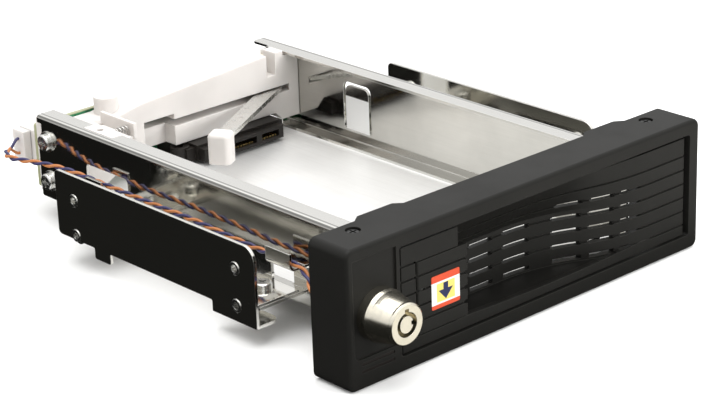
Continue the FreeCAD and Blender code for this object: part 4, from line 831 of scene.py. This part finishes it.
# %% A row of chip capacitors and resistors
def chip_part(index, x, z, size, finish, upright):
    """A ceramic block with a bright cap on each end."""
    short = size * 0.55
    wide, tall = (short, size) if upright else (size, short)
    low = (x - wide * 0.62, board_back, z - tall * 0.62)
    high = (x + wide * 0.62, board_back + short, z + tall * 0.62)
    body = block("chip_part_%02d" % index, low, high)
    soften(body, 0.08, 1)
    done(body, "cage", finish)
    cap_wide, cap_tall = (wide * 1.05, tall * 0.25) if upright else (wide * 0.25, tall * 1.05)
    caps = []
    for side in (-1, 1):
        reach = side * size * 0.8
        at_x, at_z = (x, z + reach) if upright else (x + reach, z)
        low = (at_x - cap_wide, board_back, at_z - cap_tall)
        cap = block("cap", low, (at_x + cap_wide, board_back + short * 1.05, at_z + cap_tall))
        soften(cap, 0.1)
        caps.append(cap)
    done(join("chip_part_%02d_ends" % index, caps), "cage", solder_bright)


# right of the board's left end, above its lower edge, size, finish, standing on end
PARTS = [
    (20.0, 15.0, 1.0, ceramic_tan, True), (23.0, 15.0, 1.0, ceramic_tan, True),
    (26.0, 15.0, 1.0, chip_black, True), (29.0, 15.0, 0.8, chip_black, True),
    (34.5, 14.4, 1.6, ceramic_tan, False), (54.0, 4.0, 0.8, chip_black, False),
    (57.5, 4.0, 0.8, chip_black, False), (61.0, 4.0, 1.0, ceramic_tan, False),
    (64.5, 7.0, 1.0, ceramic_tan, True), (70.5, 17.0, 1.6, ceramic_tan, True),
    (92.0, 17.5, 1.0, chip_black, False), (96.0, 17.5, 1.0, ceramic_tan, False),
]
for index, (x, z, size, finish, upright) in enumerate(PARTS):
    chip_part(index, board_low[0] + x, board_low[2] + z, size, finish, upright)
print("chip parts:", len(PARTS))

# %% Solder cones where the drive connector's pins come through
FIRST_PIN, PIN_PITCH, PIN_COUNT = 7.5, 1.6, 21
PIN_ROWS = (3.4, 1.6)
CONE_FOOT, CONE_TIP, CONE_HEIGHT = 0.55, 0.2, 0.8
EDGE_MARGIN = 2

first_pin = in_mm(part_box("drive_connector"))[0][0] + FIRST_PIN
cones = []
for i in range(PIN_COUNT):
    x = first_pin + PIN_PITCH * i
    if x < board_high[0] - EDGE_MARGIN:
        place = (x, board_back + CONE_HEIGHT / 2, board_low[2] + PIN_ROWS[i % 2])
        deselect()
        bpy.ops.mesh.primitive_cone_add(
            vertices=12, radius1=CONE_FOOT * MM, radius2=CONE_TIP * MM, depth=CONE_HEIGHT * MM,
            location=[v * MM for v in place], rotation=(-math.pi / 2, 0, 0),
        )
        cones.append(settled("cone"))
done(join("connector_solder", cones), "cage", solder_bright, smooth=60)
print("solder cones:", len(cones))

# %% [markdown]
# ## The room
# The cage stands on a pale floor in soft light.  Bright sheet steel shows nothing but its
# surroundings, so they matter more than the metal: white above the horizon for faces that look
# up, and dark below it for walls that look sideways.  The floor is kept out of the reflections,
# and two cards just above it, which reflections alone can see, stand in for it where the steel
# does show something pale: a white one under the open tray and a grey one in front of the lock.

# %% Floor and cards
def matte(name, colour, rough):
    paint = Finish(name)
    wide = paint.noise(paint.place((0.01, 0.01, 0.01)), 1.0, 2.0)
    paint.set(base_color=paint.blend(wide * 0.15, colour, scaled(colour, 0.96)))
    paint.set(roughness=rough, specular=0.25)
    return paint.material


def plane(name, low, high, height, finish):
    """A flat sheet between two corners, at one height."""
    deselect()
    bpy.ops.mesh.primitive_plane_add(size=1)
    piece = bpy.context.object
    piece.name = piece.data.name = name
    for vertex in piece.data.vertices:
        vertex.co.x = (low[0] if vertex.co.x < 0 else high[0]) * MM
        vertex.co.y = (low[1] if vertex.co.y < 0 else high[1]) * MM
        vertex.co.z = height * MM
    piece.data.materials.append(finish)
    return piece


FLOOR_REACH, FLOOR_HEIGHT, CARD_HEIGHT = 3000, -0.15, -0.1
tray_end = in_mm(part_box("chassis"))[1][1] - 14
floor_paint = matte("floor_paint", (0.93, 0.93, 0.925), 0.35)
card_grey = matte("card_grey", (0.50, 0.49, 0.46), 0.6)
floor = plane(
    "floor", (-FLOOR_REACH, -FLOOR_REACH), (FLOOR_REACH, FLOOR_REACH), FLOOR_HEIGHT, floor_paint
)
floor.visible_glossy = False
tray_card = plane("tray_card", (-71, 18), (71, tray_end), CARD_HEIGHT, floor_paint)
front_card = plane("front_card", (-60, -420), (420, -12), CARD_HEIGHT, card_grey)
for card in (tray_card, front_card):
    card.visible_camera = card.visible_diffuse = card.visible_shadow = False
print("tray card ends at, mm:", round(tray_end, 1))

# %% The sky
class Room(Finish):
    """The world's nodes, built in the same way as a material's."""

    def __init__(self, name):
        self.material = bpy.data.worlds.new(name)
        self.material.use_nodes = True
        self.nodes = self.material.node_tree.nodes
        self.shader = self.nodes["Background"]


BELOW, LOW_SKY, HIGH_SKY = (0.012, 0.012, 0.011), (0.82, 0.82, 0.82), (1.25, 1.25, 1.24)

room = Room("studio_room")
height = room.split(room.add("TexCoord"))[2]
sky = room.blend(room.ramp(height, 0.15, 0.8), LOW_SKY, HIGH_SKY)
colour = room.blend(room.ramp(height, -0.06, 0.10), BELOW, sky)
room.join(room.shader.inputs["Color"], colour)
room.join(room.shader.inputs["Strength"], 1.0)
bpy.context.scene.world = room.material
print("sky from", LOW_SKY, "to", HIGH_SKY)

# %% [markdown]
# ## Lights
# The sky gives most of the light.  A wide lamp overhead adds a soft shadow under the cage, and a
# smaller one to the right in front lifts the black front face, as a reflector in a studio does.
# That one is hidden from reflections, or the bright sheet would show it as hard glints.

# %% One lamp above, one in front
def soft_light(name, place, target, size, power):
    light = bpy.data.lights.new(name, "AREA")
    light.shape = "RECTANGLE"
    light.size, light.size_y = [s * MM for s in size]
    light.energy = power
    holder = bpy.data.objects.new(name, light)
    bpy.context.scene.collection.objects.link(holder)
    holder.location = [p * MM for p in place]
    facing = Vector(target) - Vector(place)
    holder.rotation_euler = facing.to_track_quat("-Z", "Y").to_euler()
    return holder


overhead = soft_light("overhead", (-80, 60, 900), (0, 80, 0), (900, 900), 7.0)
front_fill = soft_light("front_fill", (330, -720, 330), (0, 0, 20), (500, 300), 6.0)
front_fill.visible_glossy = False
print("lights, watts:", overhead.data.energy, front_fill.data.energy)

# %% [markdown]
# ## The camera
# A catalogue view: from the front left and a little above, with a long lens from about two thirds
# of a metre, so that the bezel looks large but its edges stay nearly parallel.  It is placed by
# the point it looks at and by its angles, which are easier to judge than its own coordinates.

# %% Where the camera stands
AIM = (-71.9, -0.66, 55.06)
DISTANCE = 625.7
AZIMUTH, ELEVATION, ROLL = -41.575, 21.591, -2.122
LENS, SENSOR = 118.3, 36


def look(target, distance, azimuth, elevation, roll, lens):
    """A camera that looks at a point, from an azimuth and an elevation in degrees."""
    a, e, r = (math.radians(v) for v in (azimuth, elevation, roll))
    back = Vector((math.sin(a) * math.cos(e), -math.cos(a) * math.cos(e), math.sin(e)))
    right = Vector((math.cos(a), math.sin(a), 0))
    up = back.cross(right)
    side = right * math.cos(r) + up * math.sin(r)
    top = up * math.cos(r) - right * math.sin(r)
    camera = bpy.data.cameras.new("camera")
    camera.lens, camera.sensor_width = lens, SENSOR
    camera.clip_start, camera.clip_end = 0.01, 20
    holder = bpy.data.objects.new("camera", camera)
    bpy.context.scene.collection.objects.link(holder)
    place = Vector(target) * MM + back * distance * MM
    turn = Matrix((side, top, back)).transposed().to_4x4()
    holder.matrix_world = Matrix.Translation(place) @ turn
    bpy.context.scene.camera = holder
    return place


place = look(AIM, DISTANCE, AZIMUTH, ELEVATION, ROLL, LENS)
bpy.context.scene.view_settings.view_transform = "Standard"
print("camera stands at, mm:", [round(v / MM) for v in place])
